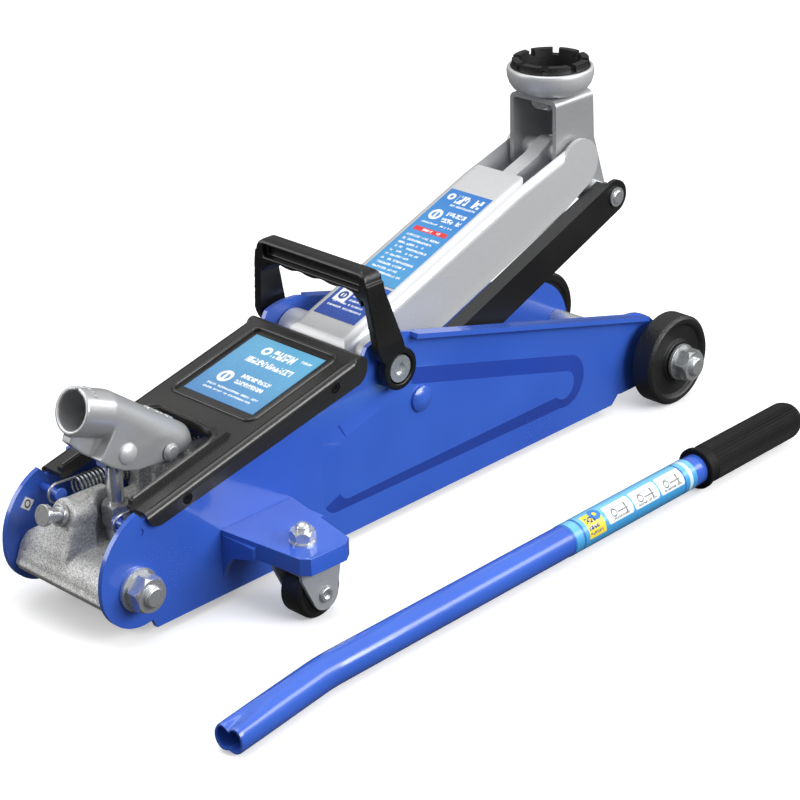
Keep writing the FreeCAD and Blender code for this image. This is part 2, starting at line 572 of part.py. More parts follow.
tl = tie_link()
add("tie_link_left", tl)
add("tie_link_right", mir(tl))
RP = PLATE_OUT + RAISE
rv2 = cy(BX, BZ, 5.0, 32.6, RP).fuse(cone((BX, RP, BZ), (BX, RP + 1.2, BZ), 8.3, 8.0))
dome = Part.makeSphere(14.0, V(BX, RP + 4.0 - 14.0, BZ)).common(
    cy(BX, BZ, 8.0, RP + 1.2, RP + 6))
rv2 = rv2.fuse(dome).fuse(cy(BX, BZ, 7.5, 31.0, 33.1))
rv2 = rv2.fuse(ring((BX, 36.8, BZ), (BX, PLATE_IN, BZ), 8.0, 4.9))
add("link_rear_rivets", both(rv2.removeSplitter()))
lp = cy(LX, LZ, 4.5, 15.6, 38.2).fuse(cy(LX, LZ, 7.0, 13.6, 16.0)).fuse(
    cy(LX, LZ, 6.2, 36.8, 38.0)).fuse(cone((LX, 38.2, LZ), (LX, 39.0, LZ), 4.5, 3.6))
lp = lp.fuse(ring((LX, 19.0, LZ), (LX, 26.6, LZ), 7.0, 4.4))
add("link_front_pins", both(lp.removeSplitter()))

# ---------------------------------------------------------------- saddle
dish = revolve_z([(0, 211.8), (17.5, 211.8), (20.8, 212.8), (23.6, 215.0), (25.6, 218.0), (26.8, 221.6),
                  (27.2, 225.2), (26.9, 227.2), (26.2, 228.0), (24.9, 228.0), (24.4, 224.8),
                  (22.4, 219.2), (19.0, 215.4), (0, 215.4)], SAD_X, 0)
dish = dish.fuse(cz(SAD_X, 0, 8.0, 201.0, 212.0)).cut(cz(SAD_X, 0, 4.0, 190.0, 207.0))
add("saddle_dish", dish.removeSplitter())
sn = hexa((SAD_X, 0, 202.2), (SAD_X, 0, 208.1), 22.0, 5).cut(cz(SAD_X, 0, 8.0, 190, 220))
add("saddle_nut", sn)
pad = revolve_z([(0, 215.4), (18.8, 215.4), (22.2, 219.3), (24.2, 225.0), (24.6, 228.4), (24.0, 229.4),
                 (23.8, 232.6), (19.3, 232.6), (18.8, 222.0), (0, 222.0)], SAD_X, 0)
for i in range(8):
    t = radians(45 * i + 32)
    sl = Part.makeBox(14.0, 4.4, 12.0, V(15.0, -2.2, 228.6))
    sl.rotate(V(0, 0, 0), V(0, 0, 1), degrees(t))
    sl.translate(V(SAD_X, 0, 0))
    pad = pad.cut(sl)
cr = box(SAD_X - 14.0, SAD_X + 14.0, -2.2, 2.2, 219.8, 224.0).fuse(
    box(SAD_X - 2.2, SAD_X + 2.2, -14.0, 14.0, 219.8, 224.0))
pad = pad.cut(cr)
add("saddle_pad", pad.removeSplitter())

# ---------------------------------------------------------------- handle socket
ST = radians(SOCK_TILT)
SD = V(cos(ST), 0, -sin(ST))         # along the tube, into the jack
SN = V(-sin(ST), 0, -cos(ST))        # across the tube, downwards
MO = V(MOUTH_X, 0, MOUTH_Z)


def sk(s, n, y=0.0):
    return MO + SD * s + SN * n + V(0, y, 0)


def sock_prism(pts, y0, y1):
    vs = [sk(s, n, y0) for s, n in pts]
    return Part.Face(Part.makePolygon(vs + [vs[0]])).extrude(V(0, y1 - y0, 0))


SOCK_TILT2 = 36.5        # the front run dips more steeply
ST2 = radians(SOCK_TILT2)
SD2 = V(cos(ST2), 0, -sin(ST2))
SN2 = V(-sin(ST2), 0, -cos(ST2))
M2 = sk(20.0, 0.0)
BORE_LEN = 17.5
IR2 = SOCK_IR + 0.25


def plan(pts, o, d, nrm, deep):
    vs = [o + d * s_ + V(0, y_, 0) for s_, y_ in pts]
    return Part.Face(Part.makePolygon(vs + [vs[0]])).extrude(nrm * deep)


tube = Part.makeCylinder(SOCK_OR, 20.0, MO, SD).fuse(Part.makeSphere(SOCK_OR, M2))
tube2 = Part.makeCylinder(SOCK_OR, 66.0, M2, SD2)
tube2 = tube2.fuse(plan([(3.0, SOCK_OR), (70.0, SOCK_OR), (70.0, -SOCK_OR), (3.0, -SOCK_OR)],
                        M2, SD2, SN2, 60.0))
# cheeks under the mouth: narrow pinched lug, then flaring to full width
skirt = plan([(1.5, 3.6), (17.0, 3.6), (26.0, SOCK_OR), (27.0, SOCK_OR), (27.0, -SOCK_OR),
              (26.0, -SOCK_OR), (17.0, -3.6), (1.5, -3.6)], MO, SD, SN, 60.0)
side = sock_prism([(1.5, -20.0), (1.5, 17.5), (10.0, 21.5), (26.0, 26.5), (36.0, 27.8), (46.0, 26.8),
                   (66.0, 20.2), (78.0, 13.6), (81.4, 8.5), (81.4, 2.5), (76.5, -20.0)], -20.0, 20.0)
sock = tube.fuse(skirt.fuse(tube2).common(side))
hol = plan([(3.5, 3.0), (11.5, IR2), (90.0, IR2), (90.0, -IR2), (11.5, -IR2), (3.5, -3.0)],
           M2, SD2, SN2, 60.0)
bore = Part.makeCylinder(SOCK_IR, BORE_LEN + 2.0, sk(-2.0, 0), SD)
bore2 = Part.makeCylinder(IR2, 20.0 - BORE_LEN, sk(BORE_LEN, 0), SD).fuse(
    Part.makeSphere(IR2, M2)).fuse(Part.makeCylinder(IR2, 90.0, M2, SD2))
sock = sock.cut(bore).cut(bore2).cut(hol)
# seam slit and a notch in the top of the mouth
sock = sock.cut(sock_prism([(-1.0, -8.0), (-1.0, -16.0), (9.0, -16.0), (9.0, -8.0)], -0.9, 0.9))
sock = sock.cut(cy(FULX, FULZ, 4.0 + RUN, -15.5, 15.5))
sock = sock.cut(cy(PUMP_X, PPIN_Z, 4.0, -15.5, 15.5))
sock = sock.removeSplitter()
add("handle_socket", sock)
pp = cy(PUMP_X, PPIN_Z, 4.0, -SOCK_OR, SOCK_OR)
for s in (-1, 1):
    pp = pp.fuse(cone((PUMP_X, s * SOCK_OR, PPIN_Z), (PUMP_X, s * (SOCK_OR + 0.9), PPIN_Z), 6.2, 5.8))
    sp = Part.makeSphere(9.5, V(PUMP_X, s * (SOCK_OR + 2.9 - 9.5), PPIN_Z))
    cap = cy(PUMP_X, PPIN_Z, 5.8, SOCK_OR + 0.9, SOCK_OR + 4.0) if s > 0 else cy(
        PUMP_X, PPIN_Z, 5.8, -SOCK_OR - 4.0, -SOCK_OR - 0.9)
    pp = pp.fuse(sp.common(cap))
add("plunger_pin", pp.removeSplitter())
# pump plunger with a slotted head
pl = cz(PUMP_X, 0, PLUNGER_R, 42.0, PPIN_Z - 7.0)
hz = PPIN_Z + 7.4
hd = prism([(PUMP_X - 8.2, PPIN_Z - 9.4), (PUMP_X + 12.8, PPIN_Z - 9.4), (PUMP_X + 12.8, hz - 1.8),
            (PUMP_X + 11.0, hz), (PUMP_X - 6.4, hz), (PUMP_X - 8.2, hz - 1.8)], -4.2, 4.2)
hd = hd.cut(box(PUMP_X - 6.0, PUMP_X + 10.2, -20, 20, PPIN_Z - 5.6, PPIN_Z + 5.2))
pl = pl.fuse(hd).removeSplitter()
add("pump_plunger", pl)

# ---------------------------------------------------------------- cover
def cover():
    s = COV_SLOPE
    z_r, z_f = covz(COV_X0), covz(COV_X1)

    def sec(x0, x1, drop, yy, under):
        return [(x0, covz(x0) - drop), (x1, covz(x1) - drop),
                (x1 + 1.0, covz(x1) - under), (x0 + 5.0, covz(x0) - under)]
    o = prism([(COV_X0, z_r), (COV_X1 - 6.0, covz(COV_X1 - 6.0)), ('a', COV_X1 - 1.2, z_f - 1.9, COV_X1 + 0.6, z_f - 7.0),
               ('a', COV_X1 - 1.0, z_f - 13.4, COV_X1 - 6.0, z_f - 17.6),
               (COV_X0 + 9.0, z_r - 9.5 + 9.0 * s + 1.2 - 3.0), ('a', COV_X0 + 2.0, z_r - 6.4, COV_X0, z_r - 2.0)],
              -COV_Y, COV_Y)

    def top_long(e):
        bb = e.BoundBox
        return bb.YLength < 1e-3 and bb.XLength > 100 and e.CenterOfMass.z > covz(e.CenterOfMass.x) - 2
    o = fillet_where(o, 4.0, top_long)
    i = prism([(COV_X0 - 20, covz(COV_X0 - 20) - COV_T), (COV_X1 + 20, covz(COV_X1 + 20) - COV_T),
               (COV_X1 + 20, 20.0), (COV_X0 - 20, 20.0)], -(PLATE_OUT + 0.35), PLATE_OUT + 0.35)
    i = fillet_where(i, 2.0, lambda e: e.BoundBox.YLength < 1e-3 and e.BoundBox.XLength > 100 and
                     e.CenterOfMass.z > 80)
    c = o.cut(i)
    # raised rim around the rear opening for the socket
    rim = prism([(COV_X0 + 1.0, covz(COV_X0 + 1.0) + 3.0), (37.5, covz(37.5) + 3.0),
                 (40.5, covz(40.5) + 0.5), (40.5, covz(40.5) - COV_T), (COV_X0 + 1.0, covz(COV_X0 + 1.0) - COV_T)],
                -32.0, 32.0)
    c = c.fuse(rim)
    cut = prism_z([(COV_X0 - 5, -28.5), (26.0, -28.5), (32.0, -26.5), (35.0, -21.5), (35.0, 21.5),
                   (32.0, 26.5), (26.0, 28.5), (COV_X0 - 5, 28.5)], 50.0, 140.0)
    c = c.cut(cut)
    # inner returns down both sides of the opening
    for y0, y1 in ((28.5, 30.5), (-30.5, -28.5)):
        c = c.fuse(prism([(COV_X0 + 1.0, covz(COV_X0 + 1.0)), (34.0, covz(34.0)), (34.0, covz(34.0) - 5.0),
                          (COV_X0 + 1.0, covz(COV_X0 + 1.0) - 5.0)], y0, y1))
    # shallow window for the label
    x0, x1 = 55.0, 121.0
    win = prism([(x0, covz(x0) - 1.0), (x1, covz(x1) - 1.0), (x1, covz(x1) + 5), (x0, covz(x0) + 5)],
                -32.5, 32.5)
    c = c.cut(win)
    for x in (-4.2, 108.2):
        zz = covz(x) - 7.2
        c = c.cut(cy(x, zz, 1.6, -60, 60))
        for s1 in (1, -1):
            c = c.cut(rod((x, s1 * 44.6, zz), (x, s1 * 50, zz), 3.4))
    return c.removeSplitter()


add("top_cover", cover())
sc = None
for x in (-4.2, 108.2):
    zz = covz(x) - 7.2
    one = cy(x, zz, 1.6, 34.5, 44.6).fuse(cy(x, zz, 3.2, 44.6, 45.8)).cut(
        cy(x, zz, 1.1, 45.0, 47.0)).removeSplitter()
    sc = one if sc is None else Part.makeCompound([sc, one])
add("cover_screws", Part.makeCompound([sc, mir(sc)]))
x0, x1 = 60.0, 117.5
lab = prism([(x0, covz(x0) - 1.0), (x1, covz(x1) - 1.0), (x1, covz(x1) - 0.6), (x0, covz(x0) - 0.6)],
            -29.0, 29.0)
add("cover_label", lab)
add("plate_sticker", prism([(-52.6, 59.3), (-47.2, 55.2), (-43.0, 60.2), (-48.4, 64.4)],
                           PLATE_IN - 0.4, PLATE_IN))


# ---------------------------------------------------------------- carry handle
def bail():
    yi, yo = 46.6, 52.0
    prof = [(143.5, 106.0), ('a', 138.6, 112.0, 136.8, 120.0), (134.4, 150.0), (134.4, 159.4),
            ('a', 136.0, 162.6, 140.0, 163.6), (145.0, 162.8), ('a', 147.6, 160.8, 148.0, 157.0),
            (148.6, 150.0), (160.0, 110.5), (AX, AZ)]
    leg = prism(prof, yi, yo)
    lower = leg.common(box(100, 200, 40, 60, 80, 118.0))
    upper = leg.common(box(100, 200, 40, 60, 118.0, 200))
    upper.rotate(V(0, yo, 118.0), V(1, 0, 0), 8.0)
    b = lower.fuse(upper).fuse(cy(AX, AZ, 13.0, PLATE_OUT + RAISE + 0.35, yo))
    half = 45.4
    bar = prism([(134.4, 150.0), (134.4, 159.4), ('a', 136.0, 162.6, 140.0, 163.6),
                 (145.0, 162.8), ('a', 147.6, 160.8, 148.0, 157.0), (148.6, 150.0),
                 ('a', 142.0, 147.4, 134.4, 150.0)], -half, half)
    tri = Part.Face(Part.makePolygon([V(130, 41.5, 138), V(130, 33.0, 152), V(130, 41.5, 152),
                                      V(130, 41.5, 138)])).extrude(V(30, 0, 0))
    web = tri.common(prism([(135.2, 132.0), (151.0, 132.0), (148.6, 152.0), (134.4, 152.0)], -60, 60))
    b = b.fuse(web)
    b = b.fuse(mir(b)).fuse(bar)
    # shallow channel along the rear face of the grip
    ch = prism([(130.0, 152.4), (130.0, 159.8), (138.6, 160.2), (139.2, 152.4)], -40.0, 40.0)
    b = b.cut(ch)
    # finger waves under the grip
    for yy in (-27.0, -9.0, 9.0, 27.0):
        b = b.cut(Part.makeCylinder(16.0, 60, V(115, yy, 150.4 - 16.0), V(1, 0, 0)))
    # outer top corners
    rr_ = 8.0
    keep = Part.makeCylinder(rr_, 60, V(115, half - rr_, 163.7 - rr_), V(1, 0, 0))
    cc = box(120, 160, half - rr_, 60, 163.7 - rr_, 180).cut(keep)
    b = b.cut(cc).cut(mir(cc))
    # stepped bore: shoulder hole and a recess for the bolt head
    for s in (1, -1):
        a0, a1 = (PLATE_OUT, yo - 3.4)
        b = b.cut(rod((AX, s * 40, AZ), (AX, s * 60, AZ), 6.0 + RUN))
        b = b.cut(rod((AX, s * (yo - 3.4), AZ), (AX, s * (yo + 3), AZ), 9.2))
    return b.removeSplitter()


add("carry_handle", bail())
cb1 = cy(AX, AZ, 5.0, 22.5, PLATE_OUT + 0.1).fuse(cy(AX, AZ, 6.0, PLATE_OUT, 48.8)).fuse(
    cy(AX, AZ, 8.2, 48.8, 51.4))
cb1 = cb1.cut(hexa((AX, 49.6, AZ), (AX, 52.0, AZ), 7.0))
add("carry_handle_bolts", both(cb1.removeSplitter()))

# ---------------------------------------------------------------- return springs
SPX, SPZ, SPY = -36.0, 66.0, 28.0
anchor = cy(SPX, SPZ, 2.5, SPY - 3.0, PLATE_OUT - 0.5)
anchor = anchor.fuse(cy(SPX, SPZ, 4.0, SPY - 4.4, SPY - 3.0))
add("spring_anchor_pins", both(anchor.removeSplitter()))


def spring(y):
    wire_r, rc = 0.8, 5.6
    a = V(SPX, y, SPZ)
    b = V(LPX, y, LPZ)
    d = (b - a)
    L = d.Length
    d = V(d).normalize()
    w = V(0, -1, 0)
    n = V(-d.z, 0, d.x)
    s0, s1 = 13.0, 103.0
    turns = 34

    # coil, drawn along Z and laid along the spring's line
    hx = Part.makeHelix((s1 - s0) / turns, s1 - s0, rc)
    prof = Part.Wire([Part.makeCircle(wire_r, V(rc, 0, 0), V(0, rc, (s1 - s0) / turns / (2 * pi)))])
    coil = Part.Wire(hx.Edges).makePipeShell([prof], True, True)
    m = FreeCAD.Matrix(n.x, w.x, d.x, (a + d * s0).x, n.y, w.y, d.y, (a + d * s0).y,
                       n.z, w.z, d.z, (a + d * s0).z, 0, 0, 0, 1)
    coil.Placement = FreeCAD.Placement(m)
    e0, e1 = a + d * s0 + n * rc, a + d * s1 + n * rc

    def arc(c, r, t0, t1):
        q = [c + d * (r * cos(radians(t))) + n * (r * sin(radians(t))) for t in
             (t0, (t0 + t1) / 2.0, t1)]
        e = Part.Arc(q[0], q[1], q[2])
        tg = e.tangent(e.FirstParameter)[0]
        pr = Part.Wire([Part.makeCircle(wire_r, q[0], tg)])
        return Part.Wire([e.toShape()]).makePipeShell([pr], True, False), q[2]

    # hook round the anchor pin, and a long wire tail hooked over the lever pin
    h1, t1 = arc(a, rc, -60.0, -270.0)
    h2, t2 = arc(b, 5.8, 210.0, 90.0)
    h3, t3 = arc(b, 5.8, 90.0, -60.0)
    out = coil
    for extra in (Part.makeCylinder(wire_r, (e0 - t1).Length, t1, e0 - t1), h1,
                  Part.makeSphere(wire_r * 1.1, e0), Part.makeSphere(wire_r * 1.1, e1),
                  Part.makeCylinder(wire_r, (t2 - e1).Length, e1, t2 - e1), h3,
                  Part.makeSphere(wire_r * 1.02, t2), Part.makeSphere(wire_r * 1.02, t1)):
        out = out.fuse(extra)
    return out


sp = spring(SPY)
add("return_spring_left", sp)
add("return_spring_right", mir(sp))

# ---------------------------------------------------------------- loose pump handle
COLLAR_R = 13.0
AXZ0, AXZ1 = HAN_OR + 0.02, COLLAR_R + 0.02     # centre height at the tube end and at the collar


def hz(x):
    return AXZ0 + (AXZ1 - AXZ0) * (x + 83.0) / (306.0 + 83.0)


def hp(x, y):
    return V(x, y, hz(x))


bend_r = 130.0
bend = radians(7.4)
xs = 2.0
cxx, cyy = xs, HAN_Y - bend_r
# straight run, arc towards -Y, straight tail
arc_end = (xs - bend_r * sin(bend), HAN_Y - bend_r * (1 - cos(bend)))
tail = 68.0
tail_end = (arc_end[0] - tail * cos(bend), arc_end[1] - tail * sin(bend))
arc_mid = (xs - bend_r * sin(bend / 2), HAN_Y - bend_r * (1 - cos(bend / 2)))


hslope = atan2(AXZ1 - AXZ0, 306.0 + 83.0)


def tube_along(ro, ri, x_end):
    """Straight run, bend and tail in one tilted plane, each a clean ring section."""
    def section(at, normal):
        f = Part.Face(Part.Wire([Part.makeCircle(ro, at, normal)]))
        return f.cut(Part.Face(Part.Wire([Part.makeCircle(ri, at, normal)])))
    o = V(0, 0, 0)
    straight = section(o, V(1, 0, 0)).extrude(V((x_end - xs) / cos(hslope), 0, 0))
    elbow = section(o, V(1, 0, 0)).revolve(V(0, -bend_r, 0), V(0, 0, 1), degrees(bend))
    e = V(-bend_r * sin(bend), -bend_r * (1 - cos(bend)), 0)
    d = V(-cos(bend), -sin(bend), 0)
    end = section(e, d).extrude(d * tail)
    t = straight.fuse(elbow).fuse(end)
    t.Placement = FreeCAD.Placement(hp(xs, HAN_Y), FreeCAD.Rotation(V(0, 1, 0), -degrees(hslope)))
    return t


han = tube_along(HAN_OR, HAN_IR, 394.0)
# pinched end: a shallow crease along the top
te = hp(*tail_end)
tdir = (hp(*arc_end) - te).normalize()
crease = Part.makeCone(3.3, 0.2, 31.0, te + V(0, 0, HAN_OR + 0.4) - tdir * 1.0, tdir)
han = han.cut(crease)
add("handle_tube", han)
gx0, gx1 = 306.0, 407.5
g0, g1 = hp(gx0, HAN_Y), hp(gx1, HAN_Y)
gd = (g1 - g0).normalize()
grip = Part.makeCylinder(COLLAR_R, 3.0, g0, gd).fuse(Part.makeCylinder(GRIP_R, 90.0, g0, gd))
grip = grip.fuse(Part.makeCone(GRIP_R, 8.5, 7.0, g0 + gd * 90.0, gd)).fuse(
    Part.makeCone(8.5, 4.5, 2.5, g0 + gd * 97.0, gd))
grip = grip.cut(Part.makeCylinder(HAN_OR, 89.0, g0 - gd * 0.5, gd)).removeSplitter()
add("handle_grip", grip)
l0, l1 = hp(184.0, HAN_Y), hp(296.0, HAN_Y)
ld = (l1 - l0).normalize()
add("handle_label", ring((l0.x, l0.y, l0.z), (l1.x, l1.y, l1.z), HAN_OR + 0.25, HAN_OR))

# ---------------------------------------------------------------- export
move = V(-ORIGIN_X, -ORIGIN_Y, 0)
bb = None
for name, shape in parts.items():
    s = shape.copy()
    s.translate(move)
    if not s.isValid():
        print("INVALID", name)
    nsol = len(s.Solids)
    if nsol == 0:
        print("NO SOLID", name)
    b = s.BoundBox
    if bb is None:
        bb = FreeCAD.BoundBox(b)
    else:
        bb.add(b)
    s.exportStep("parts/%s.step" % name)
    print("%-22s solids %d vol %9.1f  x %8.2f %8.2f  y %8.2f %8.2f  z %8.2f %8.2f" % (
        name, nsol, s.Volume, b.XMin, b.XMax, b.YMin, b.YMax, b.ZMin, b.ZMax))
print("nodes", len(parts))
print("bbox x %.3f %.3f y %.3f %.3f z %.3f %.3f" % (bb.XMin, bb.XMax, bb.YMin, bb.YMax, bb.ZMin, bb.ZMax))
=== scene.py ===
import bpy, bmesh, json, math, random
from mathutils import Vector, Matrix, noise as mnoise

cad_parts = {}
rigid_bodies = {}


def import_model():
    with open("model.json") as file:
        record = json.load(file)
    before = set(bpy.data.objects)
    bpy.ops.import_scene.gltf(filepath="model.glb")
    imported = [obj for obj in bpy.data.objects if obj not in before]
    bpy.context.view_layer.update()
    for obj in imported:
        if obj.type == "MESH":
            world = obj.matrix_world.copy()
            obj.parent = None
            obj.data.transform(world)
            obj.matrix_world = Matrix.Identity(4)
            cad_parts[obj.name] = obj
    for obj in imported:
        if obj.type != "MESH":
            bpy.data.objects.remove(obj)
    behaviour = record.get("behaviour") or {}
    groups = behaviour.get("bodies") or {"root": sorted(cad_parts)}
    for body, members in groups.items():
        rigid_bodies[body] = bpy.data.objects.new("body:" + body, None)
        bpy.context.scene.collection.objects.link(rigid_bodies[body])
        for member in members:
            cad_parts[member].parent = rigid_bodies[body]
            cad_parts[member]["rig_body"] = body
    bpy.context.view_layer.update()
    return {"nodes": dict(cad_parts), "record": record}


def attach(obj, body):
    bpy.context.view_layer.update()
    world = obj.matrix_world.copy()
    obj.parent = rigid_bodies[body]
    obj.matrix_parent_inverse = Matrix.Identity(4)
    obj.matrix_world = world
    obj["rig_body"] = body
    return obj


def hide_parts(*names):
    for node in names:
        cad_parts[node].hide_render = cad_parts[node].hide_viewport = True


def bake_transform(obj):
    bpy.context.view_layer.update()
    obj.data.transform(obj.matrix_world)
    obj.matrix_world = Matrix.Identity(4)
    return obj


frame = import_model()
NODE = frame["nodes"]
BODY = {n: o["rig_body"] for n, o in NODE.items()}
SLOT = {s["node"]: s["material_slot"] for s in frame["record"]["subparts"]} if "subparts" in frame["record"] else {}
scene = bpy.context.scene
OX, OY = 171.75, -31.781


def W(x, y, z):
    """A point of the drawing frame (mm, jack's centre plane at y 0) in the row frame (m)."""
    return Vector(((x - OX) / 1000.0, (y - OY) / 1000.0, z / 1000.0))


# ------------------------------------------------------------------ materials
def srgb(r, g, b):
    def f(c):
        c = c / 255.0
        return c / 12.92 if c <= 0.04045 else ((c + 0.055) / 1.055) ** 2.4
    return (f(r), f(g), f(b), 1.0)


class Mat:
    """A node material: small helpers that add one node each and give back its socket."""

    def __init__(self, name, base, rough=0.4, metal=0.0, coat=0.0, coat_rough=0.05, spec=0.5, ior=1.5):
        self.m = bpy.data.materials.new(name)
        self.m.use_nodes = True
        self.t = self.m.node_tree
        for n in list(self.t.nodes):
            self.t.nodes.remove(n)
        self.b = self.t.nodes.new("ShaderNodeBsdfPrincipled")
        self.o = self.t.nodes.new("ShaderNodeOutputMaterial")
        self.t.links.new(self.b.outputs[0], self.o.inputs[0])
        i = self.b.inputs
        i["Base Color"].default_value = base
        i["Roughness"].default_value = rough
        i["Metallic"].default_value = metal
        i["Coat Weight"].default_value = coat
        i["Coat Roughness"].default_value = coat_rough
        i["Specular IOR Level"].default_value = spec
        i["IOR"].default_value = ior
        self._c = None

    def put(self, inp, v):
        if v is None:
            return
        if isinstance(v, (int, float)):
            inp.default_value = v
        elif isinstance(v, (tuple, list)):
            inp.default_value = v if len(inp.default_value) == len(v) else tuple(v)[:3]
        else:
            self.t.links.new(v, inp)

    def set(self, name, v):
        self.put(self.b.inputs[name], v)
        return self

    def obj(self):
        if self._c is None:
            self._c = self.t.nodes.new("ShaderNodeTexCoord").outputs["Object"]
        return self._c

    def math(self, op, a, b=None, c=None, clamp=False):
        n = self.t.nodes.new("ShaderNodeMath")
        n.operation = op
        n.use_clamp = clamp
        self.put(n.inputs[0], a)
        self.put(n.inputs[1], b)
        self.put(n.inputs[2], c)
        return n.outputs[0]

    def dot(self, vec, d, off=0.0):
        n = self.t.nodes.new("ShaderNodeVectorMath")
        n.operation = "DOT_PRODUCT"
        self.put(n.inputs[0], vec)
        n.inputs[1].default_value = d
        return self.math("ADD", n.outputs["Value"], off)

    def combine(self, x, y, z=0.0):
        n = self.t.nodes.new("ShaderNodeCombineXYZ")
        self.put(n.inputs[0], x)
        self.put(n.inputs[1], y)
        self.put(n.inputs[2], z)
        return n.outputs[0]

    def mapping(self, vec, scale=(1, 1, 1), rot=(0, 0, 0), loc=(0, 0, 0)):
        n = self.t.nodes.new("ShaderNodeMapping")
        self.put(n.inputs["Vector"], vec)
        n.inputs["Scale"].default_value = scale
        n.inputs["Rotation"].default_value = rot
        n.inputs["Location"].default_value = loc
        return n.outputs[0]

    def noise(self, scale, detail=3.0, rough=0.5, vec=None, dist=0.0):
        n = self.t.nodes.new("ShaderNodeTexNoise")
        self.put(n.inputs["Vector"], vec if vec is not None else self.obj())
        n.inputs["Scale"].default_value = scale
        n.inputs["Detail"].default_value = detail
        n.inputs["Roughness"].default_value = rough
        n.inputs["Distortion"].default_value = dist
        return n.outputs["Fac"]

    def voronoi(self, scale, vec=None, feature="F1", out="Distance", rand=1.0):
        n = self.t.nodes.new("ShaderNodeTexVoronoi")
        n.feature = feature
        self.put(n.inputs["Vector"], vec if vec is not None else self.obj())
        n.inputs["Scale"].default_value = scale
        n.inputs["Randomness"].default_value = rand
        return n.outputs[out]

    def ramp(self, fac, stops, mode="LINEAR"):
        n = self.t.nodes.new("ShaderNodeValToRGB")
        n.color_ramp.interpolation = mode
        el = n.color_ramp.elements
        el[0].position, el[0].color = stops[0][0], stops[0][1]
        el[1].position, el[1].color = stops[-1][0], stops[-1][1]
        for p, c in stops[1:-1]:
            e = el.new(p)
            e.color = c
        self.put(n.inputs[0], fac)
        return n.outputs[0]

    def remap(self, v, a, b, c, d, smooth=False):
        n = self.t.nodes.new("ShaderNodeMapRange")
        if smooth:
            n.interpolation_type = "SMOOTHSTEP"
        self.put(n.inputs[0], v)
        for k, x in zip((1, 2, 3, 4), (a, b, c, d)):
            n.inputs[k].default_value = x
        return n.outputs[0]

    def mix(self, fac, a, b, mode="MIX"):
        n = self.t.nodes.new("ShaderNodeMix")
        n.data_type = "RGBA"
        n.blend_type = mode
        self.put(n.inputs[0], fac)
        self.put(n.inputs[6], a)
        self.put(n.inputs[7], b)
        return n.outputs[2]

    def bump(self, height, dist, strength=1.0, normal=None):
        n = self.t.nodes.new("ShaderNodeBump")
        n.inputs["Strength"].default_value = strength
        n.inputs["Distance"].default_value = dist
        self.put(n.inputs["Height"], height)
        self.put(n.inputs["Normal"], normal)
        return n.outputs[0]

    def box(self, u, v, u0, u1, v0, v1):
        """1 inside a rectangle of (u, v), 0 outside."""
        a = self.math("GREATER_THAN", u, u0)
        b = self.math("LESS_THAN", u, u1)
        c = self.math("GREATER_THAN", v, v0)
        d = self.math("LESS_THAN", v, v1)
        return self.math("MULTIPLY", self.math("MULTIPLY", a, b), self.math("MULTIPLY", c, d))


def paint(name, col, dark, rough=0.28, coat=0.6, peel=0.00006, flake=0.0, metal=0.0):
    m = Mat(name, col, rough, metal, coat, 0.06)
    big = m.noise(14.0, 2.0, 0.5)
    fine = m.noise(900.0, 2.0, 0.5)
    c = m.mix(m.remap(big, 0.35, 0.68, 0.0, 1.0), col, dark)
    if flake:
        sp = m.noise(5200.0, 1.0, 0.4)
        c = m.mix(m.remap(sp, 0.42, 0.66, 0.0, flake), c, (0.95, 0.95, 0.96, 1))
    m.set("Base Color", c)
    r = m.math("ADD", m.remap(big, 0.3, 0.7, rough * 0.88, rough * 1.12), m.remap(fine, 0.3, 0.7, -0.012, 0.012))
    m.set("Roughness", r)
    wave = m.noise(230.0, 3.0, 0.55)
    m.set("Normal", m.bump(m.math("ADD", wave, m.math("MULTIPLY", fine, 0.25)), peel))
    return m.m


def metal(name, col, dark, rough=0.3, scale=1.0, brush=None, bump=0.000008):
    m = Mat(name, col, rough, 0.78, 0.0)
    blot = m.noise(120.0 * scale, 4.0, 0.6)
    if brush:
        v = m.mapping(m.obj(), brush)
        grain = m.noise(1.0, 3.0, 0.6, vec=v)
    else:
        grain = m.noise(1400.0 * scale, 3.0, 0.6)
    m.set("Base Color", m.mix(m.remap(blot, 0.35, 0.68, 0.0, 1.0), col, dark))
    m.set("Roughness", m.math("ADD", m.remap(blot, 0.3, 0.7, rough * 0.8, rough * 1.2),
                              m.remap(grain, 0.3, 0.7, -0.06, 0.06)))
    m.set("Normal", m.bump(grain, bump))
    return m.m


def plastic(name, col, lite, rough=0.42, grain=520.0, depth=0.00010, spec=0.5, coat=0.0):
    m = Mat(name, col, rough, 0.0, coat, 0.15, spec)
    leather = m.voronoi(grain, feature="SMOOTH_F1")
    big = m.noise(18.0, 2.0, 0.5)
    fine = m.noise(2600.0, 2.0, 0.5)
    m.set("Base Color", m.mix(m.remap(m.math("ADD", m.math("MULTIPLY", big, 0.7), m.math("MULTIPLY", fine, 0.3)),
                                      0.38, 0.64, 0.0, 1.0), col, lite))
    m.set("Roughness", m.math("ADD", m.remap(big, 0.3, 0.7, rough - 0.04, rough + 0.05),
                              m.remap(fine, 0.3, 0.7, -0.03, 0.03)))
    m.set("Normal", m.bump(m.math("ADD", leather, m.math("MULTIPLY", fine, 0.35)), depth))
    return m.m


